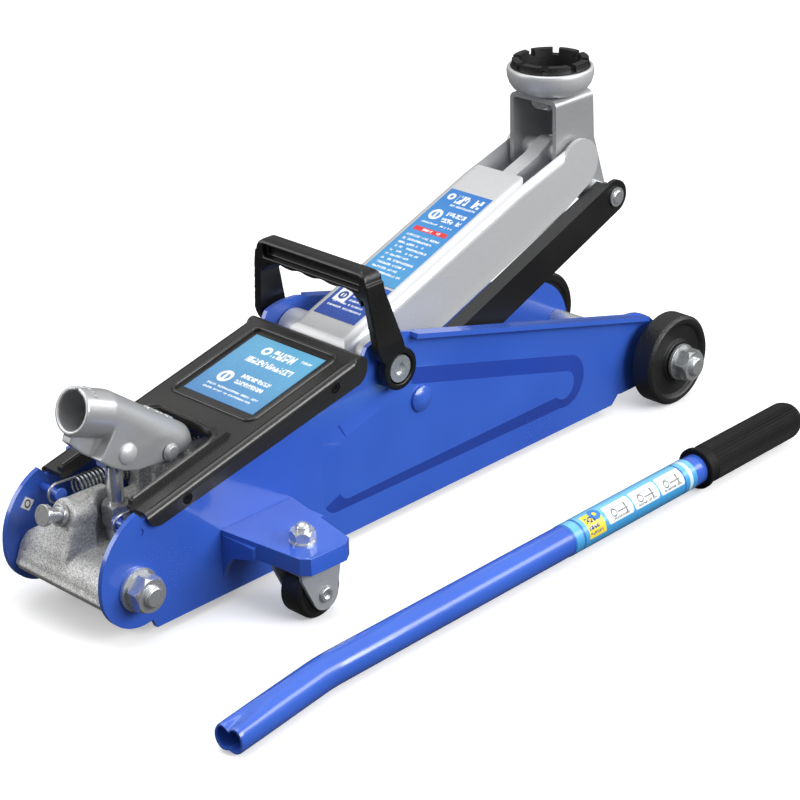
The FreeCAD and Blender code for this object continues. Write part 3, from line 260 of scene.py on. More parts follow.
def cast_iron(name):
    m = Mat(name, (0.5, 0.49, 0.47, 1), 0.5, 0.55)
    g1 = m.noise(1250.0, 4.0, 0.65)
    g2 = m.noise(430.0, 5.0, 0.6)
    g3 = m.noise(60.0, 3.0, 0.6)
    h = m.math("ADD", m.math("MULTIPLY", g1, 0.8), m.math("MULTIPLY", g2, 0.35))
    mixd = m.math("ADD", m.math("MULTIPLY", g1, 0.78), m.math("MULTIPLY", g2, 0.22))
    c = m.ramp(mixd, [(0.36, (0.24, 0.24, 0.235, 1)), (0.46, (0.54, 0.54, 0.53, 1)), (0.58, (0.84, 0.84, 0.83, 1))])
    c = m.mix(m.remap(g3, 0.38, 0.66, 0.0, 0.30), c, (0.50, 0.50, 0.49, 1), "MULTIPLY")
    m.set("Base Color", c)
    m.set("Roughness", m.remap(g1, 0.3, 0.7, 0.60, 0.40))
    m.set("Normal", m.bump(h, 0.00045, 0.9))
    return m.m


def rubberlike(name, col, lite, rough, spec, grain, depth):
    return plastic(name, col, lite, rough, grain, depth, spec)


M = {
    "blue_paint": paint("blue_paint", srgb(58, 100, 202), srgb(52, 92, 194), 0.24, 0.7),
    "silver_paint": paint("silver_paint", (0.58, 0.59, 0.60, 1), (0.53, 0.54, 0.555, 1), 0.42, 0.05, 0.00005, 0.45, 0.42),
    "bracket_paint": paint("bracket_paint", (0.46, 0.47, 0.48, 1), (0.41, 0.42, 0.425, 1), 0.34, 0.2, 0.00005, 0.35, 0.55),
    # painted shade: a darker copy of the blue paint for the pressed-panel border faces of the side plates
    "blue_painted_shade": paint("blue_paint_painted_shade", srgb(38, 70, 168), srgb(34, 65, 160), 0.24, 0.6),
    # painted shade: near-black for the cover's groove lines and for the cover screws' recessed holes
    "seam": plastic("seam_black", (0.002, 0.002, 0.002, 1), (0.004, 0.004, 0.004, 1), 0.6, 900.0, 0.00002, 0.2),
    "fork_grey": paint("fork_grey", (0.50, 0.52, 0.53, 1), (0.44, 0.46, 0.47, 1), 0.36, 0.1, 0.00005, 0.3, 0.5),
    "black_paint": paint("black_paint", (0.007, 0.007, 0.0075, 1), (0.012, 0.012, 0.0125, 1), 0.40, 0.0, 0.00008),
    "casting": cast_iron("casting"),
    "zinc": metal("zinc", (0.74, 0.76, 0.77, 1), (0.60, 0.62, 0.63, 1), 0.27),
    "steel": metal("steel", (0.62, 0.63, 0.64, 1), (0.46, 0.46, 0.47, 1), 0.30),
    "spring_steel": metal("spring_steel", (0.50, 0.52, 0.53, 1), (0.32, 0.33, 0.34, 1), 0.24),
    "chrome_rod": metal("chrome_rod", (0.74, 0.75, 0.76, 1), (0.64, 0.65, 0.67, 1), 0.10),
    "cover_plastic": plastic("cover_plastic", (0.016, 0.0155, 0.015, 1), (0.025, 0.024, 0.023, 1), 0.29, 620.0, 0.000035, 0.5, 0.15),
    "handle_plastic": plastic("handle_plastic", (0.005, 0.005, 0.0053, 1), (0.009, 0.009, 0.0092, 1), 0.30, 700.0, 0.00005, 0.45),
    "wheel_plastic": plastic("wheel_plastic", (0.009, 0.009, 0.009, 1), (0.020, 0.020, 0.020, 1), 0.40, 900.0, 0.00020, 0.5),
    "grip_plastic": plastic("grip_plastic", (0.006, 0.006, 0.006, 1), (0.009, 0.009, 0.009, 1), 0.56, 1100.0, 0.00010, 0.18),
    "rubber": plastic("rubber", (0.008, 0.008, 0.008, 1), (0.014, 0.014, 0.014, 1), 0.5, 800.0, 0.00012, 0.35),
    "label": plastic("label", srgb(70, 150, 215), srgb(90, 165, 225), 0.3, 300.0, 0.00001),
}


def white_noise(m, vec):
    n = m.t.nodes.new("ShaderNodeTexWhiteNoise")
    n.noise_dimensions = "3D"
    m.put(n.inputs["Vector"], vec)
    return n.outputs["Value"]


def glyphs(m, p, q, p0, p1, q0, q1, period, seed, fill=0.86):
    """A row of small blocky marks that reads as print from a distance, without letters."""
    cell = m.math("DIVIDE", p, period)
    k = m.math("FLOOR", cell)
    inside = m.math("LESS_THAN", m.math("FRACT", cell), fill)
    keep = m.math("GREATER_THAN", white_noise(m, m.combine(k, seed, 0.0)), 0.12)
    sub = (period * fill) / 3.0
    su = m.math("FLOOR", m.math("DIVIDE", p, sub))
    sv = m.math("FLOOR", m.math("DIVIDE", m.math("SUBTRACT", q, q0), (q1 - q0) / 4.0))
    stroke = m.math("GREATER_THAN", white_noise(m, m.combine(su, sv, seed + 3.7)), 0.34)
    a = m.math("MULTIPLY", m.box(p, q, p0, p1, q0, q1), inside)
    return m.math("MULTIPLY", a, m.math("MULTIPLY", keep, stroke))


def label_mat(name, lo, hi, marks, rough=0.24, axis="pq", coat=0.3):
    """marks: (kind, colour, args) drawn one over the other in millimetres."""
    m = Mat(name, lo, rough, 0.0, coat, 0.08)
    o = m.obj()
    if axis == "pq":
        p = m.dot(o, (0, -1000.0, 0), -OY)
        q = m.dot(o, (1000.0, 0, 0), OX)
        span = marks["span"]
        g = m.math("ADD", m.remap(q, span[0], span[1], 0.0, 0.75), m.remap(p, span[2], span[3], 0.0, 0.25))
    else:
        q = m.dot(o, (1000.0, 0, 0), OX)
        yr = m.dot(o, (0, -1000.0, 0), -OY + HAN_Y)
        zr = m.dot(o, (-1000.0 * HSL, 0, 1000.0), -(HZ0 + HSL * OX))
        p = q
        q = m.math("MULTIPLY", m.math("ARCTAN2", zr, yr), 9.75)
        g = m.remap(q, 0.0, 14.0, 0.0, 1.0)
    cloud = m.noise(30.0, 2.0, 0.5)
    c = m.mix(m.math("ADD", g, m.remap(cloud, 0.3, 0.7, -0.08, 0.08), clamp=True), lo, hi)
    for mk in marks["list"]:
        kind, col = mk[0], mk[1]
        if kind == "box":
            f = m.box(p, q, *mk[2])
        elif kind == "glyph":
            f = glyphs(m, p, q, *mk[2])
        elif kind == "disc":
            px, qx, r0, r1 = mk[2]
            dd = m.math("SQRT", m.math("ADD", m.math("POWER", m.math("ABSOLUTE", m.math("SUBTRACT", p, px)), 2.0),
                                       m.math("POWER", m.math("ABSOLUTE", m.math("SUBTRACT", q, qx)), 2.0)))
            f = m.math("MULTIPLY", m.math("LESS_THAN", dd, r1), m.math("GREATER_THAN", dd, r0))
        c = m.mix(f, c, col)
    m.set("Base Color", c)
    fine = m.noise(700.0, 2.0, 0.5)
    m.set("Roughness", m.remap(fine, 0.3, 0.7, rough - 0.03, rough + 0.04))
    m.set("Normal", m.bump(fine, 0.000006))
    return m.m


HAN_Y = -150.3
HSL = 3.5 / 389.0
HZ0 = 9.52 + 83.0 * HSL
WHT = (0.86, 0.88, 0.90, 1)
NAVY = srgb(28, 62, 140)
cover_marks = [("disc", WHT, (-10.0, 108.0, 1.6, 3.6)), ("glyph", WHT, (-5.0, 13.0, 104.6, 111.4, 4.6, 1.0)),
               ("glyph", WHT, (17.0, 25.0, 108.6, 110.8, 1.5, 2.0)),
               ("glyph", WHT, (-16.0, 21.0, 95.4, 100.4, 3.7, 3.0)),
               ("disc", WHT, (-14.2, 79.0, 3.0, 5.2)), ("box", WHT, (-15.2, -13.2, 76.0, 82.0)),
               ("glyph", WHT, (-5.0, 20.0, 82.2, 85.6, 2.6, 5.0)), ("glyph", WHT, (-5.0, 20.0, 76.4, 79.8, 2.6, 6.0)),
               ("glyph", WHT, (-20.0, 22.0, 69.4, 71.0, 1.4, 7.0)), ("glyph", WHT, (-20.0, 22.0, 66.0, 67.4, 1.4, 8.0))]
front_marks = [("disc", WHT, (-11.0, 266.0, 1.2, 2.8)), ("glyph", WHT, (-6.0, 14.0, 261.5, 269.0, 4.0, 11.0)),
               ("glyph", WHT, (-6.0, 14.0, 258.4, 260.0, 1.2, 12.0)),
               ("disc", WHT, (-8.6, 249.0, 2.7, 4.6)), ("box", WHT, (-9.4, -7.8, 246.6, 251.4)),
               ("glyph", WHT, (-1.5, 14.0, 250.2, 253.8, 2.7, 13.0)), ("glyph", WHT, (-1.5, 14.0, 244.6, 248.2, 2.7, 14.0)),
               ("box", srgb(214, 44, 52), (-13.0, 13.5, 233.0, 236.6)), ("glyph", WHT, (-6.0, 8.0, 233.8, 235.8, 1.7, 15.0)),
               ("glyph", WHT, (-13.0, 12.0, 240.4, 241.8, 1.2, 33.0))]
for k in range(10):
    q0 = 227.6 - 3.8 * k
    front_marks.append(("glyph", WHT, (-13.0, 13.5 - (k % 3) * 3.1, q0, q0 + 1.7, 1.5, 20.0 + k)))
rear_marks = [("box", WHT, (-14.2, -4.4, 164.6, 175.4)), ("disc", NAVY, (-9.3, 170.0, 1.8, 3.3)), ("box", NAVY, (-9.9, -8.7, 166.6, 173.4)),
              ("glyph", WHT, (-2.4, 14.0, 178.6, 181.4, 2.1, 41.0))]
for k in range(5):
    q0 = 174.4 - 3.6 * k
    rear_marks.append(("glyph", WHT, (-2.4 if k < 3 else -13.6, 14.0 - (k % 2) * 2.4, q0, q0 + 1.5, 1.4, 44.0 + k)))
YEL = srgb(236, 214, 60)
PALE = (0.80, 0.83, 0.84, 1)
hm = [("box", srgb(46, 116, 196), (184.0, 185.4, -40, 40)), ("box", srgb(46, 116, 196), (191.6, 193.4, -40, 40)),
      ("box", YEL, (196.5, 211.0, -0.6, 15.0)), ("disc", srgb(60, 130, 200), (207.5, 12.6, 1.4, 4.2)), ("glyph", NAVY, (197.5, 205.8, 8.4, 12.4, 3.0, 61.0)),
      ("glyph", NAVY, (197.5, 209.8, 4.4, 6.8, 2.4, 62.0)), ("glyph", NAVY, (197.5, 209.8, 1.2, 3.0, 1.5, 63.0))]
for k, x0 in enumerate((214.0, 238.0, 262.0)):
    hm += [("box", PALE, (x0, x0 + 22.5, 2.6, 12.9)), ("box", PALE, (x0 + 0.8, x0 + 21.7, 1.9, 13.6)),
           ("disc", (0.10, 0.11, 0.12, 1), (x0 + 6.6, 7.2, 1.7, 2.5)), ("box", (0.12, 0.13, 0.14, 1), (x0 + 9.6, x0 + 18.5, 6.2, 7.2)),
           ("box", (0.12, 0.13, 0.14, 1), (x0 + 16.4, x0 + 17.6, 4.0, 10.4)), ("box", (0.45, 0.47, 0.48, 1), (x0 + 4.0, x0 + 13.5, 9.6, 10.4)),
           ("glyph", (0.12, 0.13, 0.14, 1), (x0 + 3.0, x0 + 19.5, 3.0, 4.2, 1.2, 70.0 + k))]
hm += [("box", srgb(40, 110, 190), (284.0, 285.4, -40, 40)), ("box", srgb(200, 224, 238), (289.0, 292.0, -40, 40))]
LABELS = {
    "cover_label": label_mat("cover_label_print", srgb(72, 122, 178), srgb(104, 178, 212), {"span": (60, 118, -29, 29), "list": cover_marks}),
    "arm_label_front": label_mat("arm_label_front_print", srgb(74, 156, 208), srgb(30, 104, 186), {"span": (190, 262, -16, 60), "list": front_marks}),
    "arm_label_rear": label_mat("arm_label_rear_print", srgb(24, 66, 158), srgb(36, 92, 186), {"span": (159, 189, -16, 16), "list": rear_marks}),
    "handle_label": label_mat("handle_label_print", srgb(64, 150, 208), srgb(120, 192, 226), {"list": hm}, axis="cyl"),
}


def sticker_mat():
    m = Mat("plate_sticker_print", WHT, 0.35)
    x = m.dot(m.obj(), (1000.0, 0, 0), OX + 47.8)
    z = m.dot(m.obj(), (0, 0, 1000.0), -59.8)
    dd = m.math("SQRT", m.math("ADD", m.math("MULTIPLY", m.math("MULTIPLY", x, x), 1.6), m.math("MULTIPLY", z, z)))
    f = m.math("MULTIPLY", m.math("LESS_THAN", dd, 2.6), m.math("GREATER_THAN", dd, 1.7))
    n = m.noise(500.0, 2.0, 0.5)
    m.set("Base Color", m.mix(f, m.mix(n, (0.80, 0.80, 0.80, 1), (0.86, 0.86, 0.85, 1)), (0.03, 0.03, 0.035, 1)))
    return m.m


LABELS["plate_sticker"] = sticker_mat()


# ------------------------------------------------------------------ meshes
def new_obj(name, mesh, mats, body, reps=()):
    o = bpy.data.objects.new(name, mesh)
    scene.collection.objects.link(o)
    for mt in mats:
        mesh.materials.append(mt)
    if not name.startswith("return_spring_"):
        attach(o, body)
    if reps:
        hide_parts(*reps)
    return o


def shade(bm, ang=38.0):
    bm.normal_update()
    lim = math.radians(ang)
    for f in bm.faces:
        f.smooth = True
    for e in bm.edges:
        e.smooth = not (len(e.link_faces) == 2 and e.calc_face_angle(0.0) > lim)


def cad_bmesh(node):
    """A welded copy of a CAD node's mesh with its flat areas merged."""
    bm = bmesh.new()
    bm.from_mesh(NODE[node].data)
    bmesh.ops.remove_doubles(bm, verts=bm.verts, dist=2e-6)
    bmesh.ops.dissolve_limit(bm, angle_limit=math.radians(0.6), verts=bm.verts, edges=bm.edges)
    bm.normal_update()
    return bm


def refine(node, bevel=0.35, seg=2, ang=38.0, mat=None, name=None):
    """The CAD node's shape with rounded edges and smooth shading."""
    bm = cad_bmesh(node)
    if bevel:
        lim = math.radians(28.0)
        ed = [e for e in bm.edges if len(e.link_faces) == 2 and e.calc_face_angle(0.0) > lim]
        bmesh.ops.bevel(bm, geom=ed, offset=bevel / 1000.0, offset_type="OFFSET", segments=seg,
                        profile=0.5, affect="EDGES", clamp_overlap=True)
    shade(bm, ang)
    me = bpy.data.meshes.new(name or node + "_skin")
    bm.to_mesh(me)
    bm.free()
    o = new_obj(name or node + "_skin", me, [mat or M[SLOT[node]]], BODY[node], [node])
    w = o.modifiers.new("weighted", "WEIGHTED_NORMAL")
    w.keep_sharp = True
    w.weight = 80
    return o


def soften(node, voxel, steps, fac=0.5, ang=60.0, mat=None):
    """A moulded look: the CAD shape re-meshed finely and its corners relaxed."""
    bm = cad_bmesh(node)
    me = bpy.data.meshes.new(node + "_skin")
    bm.to_mesh(me)
    bm.free()
    o = new_obj(node + "_skin", me, [mat or M[SLOT[node]]], BODY[node], [node])
    r = o.modifiers.new("remesh", "REMESH")
    r.mode = "VOXEL"
    r.voxel_size = voxel / 1000.0
    r.use_smooth_shade = True
    q = o.modifiers.new("relax", "SMOOTH")
    q.factor = fac
    q.iterations = steps
    return o


def to_obj(name, bm, node, mat=None, ang=38.0, body=None, reps=()):
    shade(bm, ang)
    me = bpy.data.meshes.new(name)
    bm.to_mesh(me)
    bm.free()
    return new_obj(name, me, [mat or M[SLOT[node]]], body or BODY[node], reps)


def sweep(bm, pts, rad, closed=False, seg=8, flat=None):
    """A round bead along points (working mm)."""
    P = [Vector(p) for p in pts]
    n = len(P)
    rings = []
    up0 = Vector((0.013, 0.021, 1.0)).normalized()
    for i in range(n):
        a = P[(i - 1) % n] if (closed or i > 0) else P[i]
        b = P[(i + 1) % n] if (closed or i < n - 1) else P[i]
        t = (b - a).normalized()
        ref = up0 if abs(t.dot(up0)) < 0.93 else Vector((0, 1, 0))
        u = t.cross(ref).normalized()
        v = u.cross(t).normalized()
        rr = rad(i / max(1, n - 1)) if callable(rad) else rad
        rings.append([bm.verts.new(W(*(P[i] + u * (rr * math.cos(2 * math.pi * k / seg)) +
                                       v * (rr * math.sin(2 * math.pi * k / seg))))) for k in range(seg)])
    m = n if closed else n - 1
    for i in range(m):
        A, B = rings[i], rings[(i + 1) % n]
        for k in range(seg):
            bm.faces.new((A[k], A[(k + 1) % seg], B[(k + 1) % seg], B[k]))
    if not closed:
        bm.faces.new(rings[0][::-1])
        bm.faces.new(rings[-1])
    bmesh.ops.recalc_face_normals(bm, faces=bm.faces)


def round_rect(x0, x1, y0, y1, r, z, seg=6):
    pts = []
    for cx, cy, a0 in ((x1 - r, y1 - r, 0), (x0 + r, y1 - r, 90), (x0 + r, y0 + r, 180), (x1 - r, y0 + r, 270)):
        for k in range(seg + 1):
            a = math.radians(a0 + 90.0 * k / seg)
            x, y = cx + r * math.cos(a), cy + r * math.sin(a)
            pts.append((x, y, z(x)))
    return pts


AX, AZ, UX, UZ = 155.0, 100.5, 342.0, 173.3
ANG = math.atan2(UZ - AZ, UX - AX)


def local(u, v, y=0.0):
    return (AX + u * math.cos(ANG) - v * math.sin(ANG), y, AZ + u * math.sin(ANG) + v * math.cos(ANG))


def covz(x):
    return 76.0 + 0.2412 * (x + 32.0)


def plate_skin(node):
    """Side plate: chamfered cut edges, crisp borders to the pressed panel, and painted shade: a darker blue on the
    panel's border faces, except those facing rearward.
    """
    bm = cad_bmesh(node)
    for f in bm.faces:
        c = f.calc_center_median()
        left = f.normal.x < -0.02 and f.normal.z > -0.04
        # painted shade: border faces facing down, forward or up take the darker blue; faces facing rearward keep the
        # plain blue
        if 0.90 < abs(f.normal.y) < 0.9988 and abs(c.y * 1000.0 + OY) > 43.0 and not left:
            f.material_index = 1
    ed = [e for e in bm.edges if len(e.link_faces) == 2 and e.calc_face_angle(0.0) > math.radians(50.0)]
    bmesh.ops.bevel(bm, geom=ed, offset=0.0004, offset_type="OFFSET", segments=1, profile=0.5,
                    affect="EDGES", clamp_overlap=True)
    bm.normal_update()
    for f in bm.faces:
        f.smooth = True
    for e in bm.edges:
        if len(e.link_faces) == 2:
            a, b = e.link_faces
            flat = abs(a.normal.y) > 0.9 and abs(b.normal.y) > 0.9
            e.smooth = e.calc_face_angle(0.0) < math.radians(2.5 if flat else 22.0)
    me = bpy.data.meshes.new(node + "_skin")
    bm.to_mesh(me)
    bm.free()
    return new_obj(node + "_skin", me, [M["blue_paint"], M["blue_painted_shade"]], BODY[node], [node])


SOFT = {"hydraulic_block": (0.85, 9), "handle_socket": (0.45, 7), "carry_handle": (0.55, 9)}
OWN = {"handle_grip", "handle_tube"}
# cover_screws take the near-black groove material: painted shade for their recessed holes
TINT = {"spring_anchor_pins": "blue_paint", "plunger_pin": "silver_paint", "fulcrum_pin": "bracket_paint",
        "cover_screws": "seam", "caster_fork_left": "fork_grey", "caster_fork_right": "fork_grey"}
BEV = {"side_plate_left": 0.0, "side_plate_right": 0.0, "top_cover": 0.3, "lift_arm": 0.6, "saddle_bracket": 0.5,
       "saddle_pad": 0.5, "saddle_dish": 0.3, "cover_label": 0.0, "arm_label_front": 0.0, "arm_label_rear": 0.0,
       "handle_label": 0.0, "plate_sticker": 0.0, "caster_bracket_left": 0.9, "caster_bracket_right": 0.9, "return_spring_left": 0.0, "return_spring_right": 0.0}
for n in sorted(NODE):
    if n in OWN:
        continue
    if n.startswith("side_plate"):
        plate_skin(n)
    elif n in SOFT:
        soften(n, *SOFT[n])
    else:
        refine(n, bevel=BEV.get(n, 0.35), mat=LABELS.get(n) or (M[TINT[n]] if n in TINT else None))

# cover: beads round the label window and the rear opening, and near-black lines along the sides that paint the shade of
# the grooves by the side rails
bm = bmesh.new()
sweep(bm, round_rect(53.6, 122.4, -34.0, 34.0, 5.0, lambda x: covz(x) + 0.05), 1.25, True, 10)
sweep(bm, [(c[0], c[1], covz(c[0]) + 3.0) for c in
           [(-29.0, -30.2), (25.0, -30.2), (30.0, -29.6), (34.0, -27.4), (36.6, -23.0), (37.0, -18.0),
            (37.0, 18.0), (36.6, 23.0), (34.0, 27.4), (30.0, 29.6), (25.0, 30.2), (-29.0, 30.2)]], 1.0, False, 8)
to_obj("cover_beads", bm, "top_cover")
# painted shade: near-black lines along both sides of the cover, standing in for the shade in the grooves by the side
# rails
bm = bmesh.new()
for sy in (-1, 1):
    sweep(bm, [(x, sy * 42.6, covz(x) - 0.22) for x in (-28.0, 20.0, 70.0, 122.0)], 0.42, False, 6)
    sweep(bm, [(x, sy * 45.86, covz(x) - 4.6) for x in (-26.0, 20.0, 70.0, 122.0)], 0.32, False, 6)
to_obj("cover_seams", bm, "top_cover", mat=M["seam"])

def blob(bm, c, rx, ry, rz, rot=0.0):
    """A slightly uneven drop of weld metal (working mm)."""
    m = bmesh.ops.create_icosphere(bm, subdivisions=3, radius=1.0)["verts"]
    for v in m:
        d = 1.0 + 0.16 * mnoise.noise(v.co * 1.7 + Vector(c) * 0.37)
        p = Vector((v.co.x * rx * d, v.co.y * ry * d, v.co.z * rz * d))
        p.rotate(Matrix.Rotation(rot, 3, "Y"))
        v.co = W(c[0] + p.x, c[1] + p.y, c[2] + p.z)


T1, T2 = math.radians(23.0), math.radians(36.5)


def sock(s, n, y=0.0, second=False):
    if not second:
        return (-42.0 + s * math.cos(T1) - n * math.sin(T1), y, 126.5 - s * math.sin(T1) - n * math.cos(T1))
    m0 = sock(20.0, 0.0)
    return (m0[0] + s * math.cos(T2) - n * math.sin(T2), y, m0[2] - s * math.sin(T2) - n * math.cos(T2))


bm = bmesh.new()
for k, (s_, y_, a_, b_) in enumerate(((30.0, -1.2, 3.2, 2.3), (34.0, 0.8, 3.0, 2.6), (38.4, -0.4, 3.3, 2.2), (42.6, 1.0, 2.8, 2.4),
                                      (46.6, -0.6, 3.0, 2.1), (50.6, 0.6, 2.6, 2.0))):
    blob(bm, sock(s_, -13.0, y_, True), a_, b_, 1.0, T2)
for k in range(5):
    a = math.radians(-34 + 15 * k)
    blob(bm, sock(7.6 + 0.5 * (k % 2), -13.0 * math.cos(a), 13.0 * math.sin(a)), 1.1, 1.9, 0.7, T1)
to_obj("socket_welds", bm, "handle_socket", ang=60.0)

# arm: folded bead under the top edge of each cheek and the pressed arcs by the pivot
bm = bmesh.new()
for sy in (-1, 1):
    sweep(bm, [local(30.0 + 10.0 * k, 12.4 - 0.021 * (10.0 * k), sy * 24.75) for k in range(13)], 0.42, False, 8)
    for r0 in (19.5, 24.5):
        sweep(bm, [(AX + r0 * math.cos(math.radians(a)), sy * 24.85, AZ + r0 * math.sin(math.radians(a)))
                   for a in range(-2, 42, 4)], 0.6, False, 8)
to_obj("arm_beads", bm, "lift_arm")


# pump handle: tube whose rear end is pinched into two lobes
def hz(x):
    return 9.52 + HSL * (x + 83.0)


def tube_mesh():
    bm = bmesh.new()
    R, RI, bend_r, bend, xs = 9.5, 7.6, 130.0, math.radians(7.4), 2.0
    line = []
    ax, ay = xs - bend_r * math.sin(bend), HAN_Y - bend_r * (1 - math.cos(bend))
    for s in (0, 1.2, 3, 6, 9, 12, 16, 20, 25, 30, 36, 44, 52, 60, 68):
        x = ax - (68.0 - s) * math.cos(bend)
        y = ay - (68.0 - s) * math.sin(bend)
        line.append((x, y, s))
    for k in range(1, 10):
        b = bend * (1 - k / 9.0)
        line.append((xs - bend_r * math.sin(b), HAN_Y - bend_r * (1 - math.cos(b)), 68 + k * 2))
    for x in (40, 90, 140, 184, 240, 296, 330, 360, 394):
        line.append((float(x), HAN_Y, 120 + x))
    seg = 64

    def ring(i, r, pinch, grow=0.0):
        x, y, s = line[i]
        a, b = line[max(0, i - 1)], line[min(len(line) - 1, i + 1)]
        t = Vector((b[0] - a[0], b[1] - a[1], hz(b[0]) - hz(a[0]))).normalized()
        side = t.cross(Vector((0, 0, 1))).normalized()
        up = side.cross(t).normalized()
        vs = []
        for k in range(seg):
            f = 2 * math.pi * k / seg
            c = math.cos(f)
            top = max(0.0, c) ** 10 * pinch + max(0.0, -c) ** 10 * pinch * 0.55
            q = r - top * 4.4
            p = Vector((x, y, hz(x))) + side * (math.sin(f) * q) + up * (c * q)
            vs.append(bm.verts.new(W(*p)))
        return vs

    def pinch(s):
        return max(0.0, 1.0 - s / 31.0) ** 1.4
    outer = [ring(i, R if i else R - 0.35, pinch(line[i][2])) for i in range(len(line))]
    inner = [ring(i, RI if i else RI + 0.35, pinch(line[i][2])) for i in range(len(line))]
    for i in range(len(line) - 1):
        for k in range(seg):
            j = (k + 1) % seg
            bm.faces.new((outer[i][k], outer[i][j], outer[i + 1][j], outer[i + 1][k]))
            bm.faces.new((inner[i][j], inner[i][k], inner[i + 1][k], inner[i + 1][j]))
    for i in (0, len(line) - 1):
        for k in range(seg):
            j = (k + 1) % seg
            bm.faces.new((outer[i][k], outer[i][j], inner[i][j], inner[i][k]))
    bmesh.ops.recalc_face_normals(bm, faces=bm.faces)
    return to_obj("handle_tube_skin", bm, "handle_tube", ang=50.0, reps=["handle_tube"])


tube_mesh()


def grip_mesh():
    bm = bmesh.new()
    seg = 144
    x0 = 306.0
    o = Vector((x0, HAN_Y, hz(x0)))
    e = Vector((407.5, HAN_Y, hz(407.5)))
    t = (e - o).normalized()
    side = t.cross(Vector((0, 0, 1))).normalized()
    up = side.cross(t).normalized()
    prof = [(0.0, 9.52, 0), (0.0, 12.5, 0), (0.5, 13.0, 0), (2.4, 13.0, 0), (3.0, 12.5, 0), (3.1, 11.5, 0), (4.6, 11.4, 0), (8.5, 11.4, 0),
            (9.0, 11.3, 0), (9.6, 11.6, 0.3), (10.6, 11.6, 1), (50.0, 11.6, 1), (88.0, 11.6, 1), (90.4, 11.5, 1), (93.0, 10.7, 0.8), (95.6, 9.6, 0.5), (97.2, 8.3, 0.2),
            (98.8, 6.4, 0), (99.4, 4.4, 0), (99.5, 2.0, 0)]
    rings = []
    for s, r, rib in prof:
        vs = []
        for k in range(seg):
            f = 2 * math.pi * k / seg
            q = r + (0.36 if (k // 2) % 2 else -0.30) * rib
            vs.append(bm.verts.new(W(*(o + t * s + side * (q * math.sin(f)) + up * (q * math.cos(f))))))
        rings.append(vs)
    for i in range(len(rings) - 1):
        for k in range(seg):
            j = (k + 1) % seg
            bm.faces.new((rings[i][k], rings[i][j], rings[i + 1][j], rings[i + 1][k]))
    bm.faces.new(rings[-1])
    inn = [bm.verts.new(W(*(o + t * 88.0 + side * (9.52 * math.sin(2 * math.pi * k / seg)) + up * (9.52 * math.cos(2 * math.pi * k / seg))))) for k in range(seg)]
    for k in range(seg):
        j = (k + 1) % seg
        bm.faces.new((rings[0][j], rings[0][k], inn[k], inn[j]))
    bm.faces.new(inn)
    bmesh.ops.recalc_face_normals(bm, faces=bm.faces)
    return to_obj("handle_grip_skin", bm, "handle_grip", ang=30.0, reps=["handle_grip"])


grip_mesh()

# the return-spring skins belong to no body; their placement is baked into the mesh
for side in ("left", "right"):
    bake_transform(bpy.data.objects["return_spring_" + side + "_skin"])

# ------------------------------------------------------------------ stage, light, camera
def stage_floor():
    bm = bmesh.new()
    s = 6.0
    bmesh.ops.create_grid(bm, x_segments=8, y_segments=8, size=s)
    me = bpy.data.meshes.new("floor")
    bm.to_mesh(me)
    bm.free()
    o = bpy.data.objects.new("floor", me)
    o.location = (0, 0, -0.0002)
    scene.collection.objects.link(o)
    m = Mat("floor_pale", (0.90, 0.90, 0.90, 1), 0.55)
    f = m.noise(3.0, 2.0, 0.5)
    m.set("Base Color", m.mix(f, (0.90, 0.90, 0.90, 1), (0.92, 0.92, 0.92, 1)))
    m.b.inputs["Emission Color"].default_value = (1, 1, 1, 1)
    m.b.inputs["Emission Strength"].default_value = 0.30
    me.materials.append(m.m)
    o.visible_diffuse = False
    o.visible_glossy = False


stage_floor()


def area(name, loc, target, size, power, col=(1, 1, 1), sy=None):
    li = bpy.data.lights.new(name, "AREA")
    li.shape = "RECTANGLE"
    li.size, li.size_y = size, sy or size
    li.energy = power
    li.color = col
    o = bpy.data.objects.new(name, li)
    o.location = loc
    o.rotation_mode = "QUATERNION"
    o.rotation_quaternion = (Vector(target) - Vector(loc)).to_track_quat("-Z", "Y")
    scene.collection.objects.link(o)
    return o


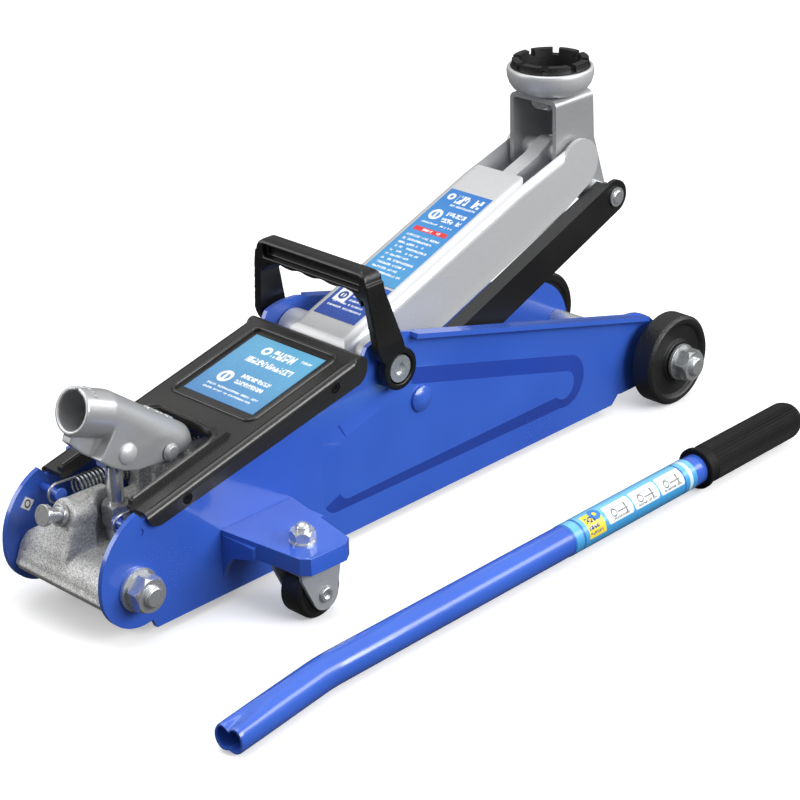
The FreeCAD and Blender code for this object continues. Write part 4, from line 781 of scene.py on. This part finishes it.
area("key_top", (-0.15, 0.1, 1.5), (0, 0, 0), 1.3, 11.0)
area("side_near", (0.35, -1.5, 0.75), (0, 0, 0.05), 1.2, 23.0, sy=0.7)
area("back_left", (-1.25, 1.2, 0.8), (0, 0, 0.1), 0.9, 10.0)
area("strip_right", (1.5, -1.15, 1.0), (0.1, 0, 0.05), 1.7, 13.0, sy=0.6)
world = bpy.data.worlds.new("studio")
scene.world = world
world.use_nodes = True
wt = world.node_tree
bg = wt.nodes["Background"]
tc = wt.nodes.new("ShaderNodeTexCoord")
sp = wt.nodes.new("ShaderNodeSeparateXYZ")
rp = wt.nodes.new("ShaderNodeValToRGB")
wt.links.new(tc.outputs["Generated"], sp.inputs[0])
wt.links.new(sp.outputs["Z"], rp.inputs[0])
wt.links.new(rp.outputs[0], bg.inputs[0])
el_ = rp.color_ramp.elements
el_[0].position, el_[0].color = 0.0, (0.10, 0.10, 0.10, 1)
el_[1].position, el_[1].color = 1.0, (0.95, 0.95, 0.95, 1)
for p_, v_ in ((0.02, 0.16), (0.16, 0.30), (0.45, 0.62)):
    e_ = el_.new(p_)
    e_.color = (v_, v_, v_, 1)
bg.inputs[1].default_value = 0.75

cam_data = bpy.data.cameras.new("camera")
cam = bpy.data.objects.new("camera", cam_data)
scene.collection.objects.link(cam)
scene.camera = cam
cam_data.sensor_width = 36.0
cam_data.lens = 107.26
cam_data.clip_start, cam_data.clip_end = 0.05, 50.0
az, el, roll = math.radians(-45.16), math.radians(24.57), math.radians(-1.4)
back = Vector((math.sin(az) * math.cos(el), -math.cos(az) * math.cos(el), math.sin(el)))
right0 = Vector((math.cos(az), math.sin(az), 0))
up0 = back.cross(right0)
right = right0 * math.cos(roll) + up0 * math.sin(roll)
up = -right0 * math.sin(roll) + up0 * math.cos(roll)
cam.matrix_world = Matrix(((right.x, up.x, back.x, -0.906150), (right.y, up.y, back.y, -0.903019),
                           (right.z, up.z, back.z, 0.653900), (0, 0, 0, 1)))
scene.view_settings.view_transform = "Standard"
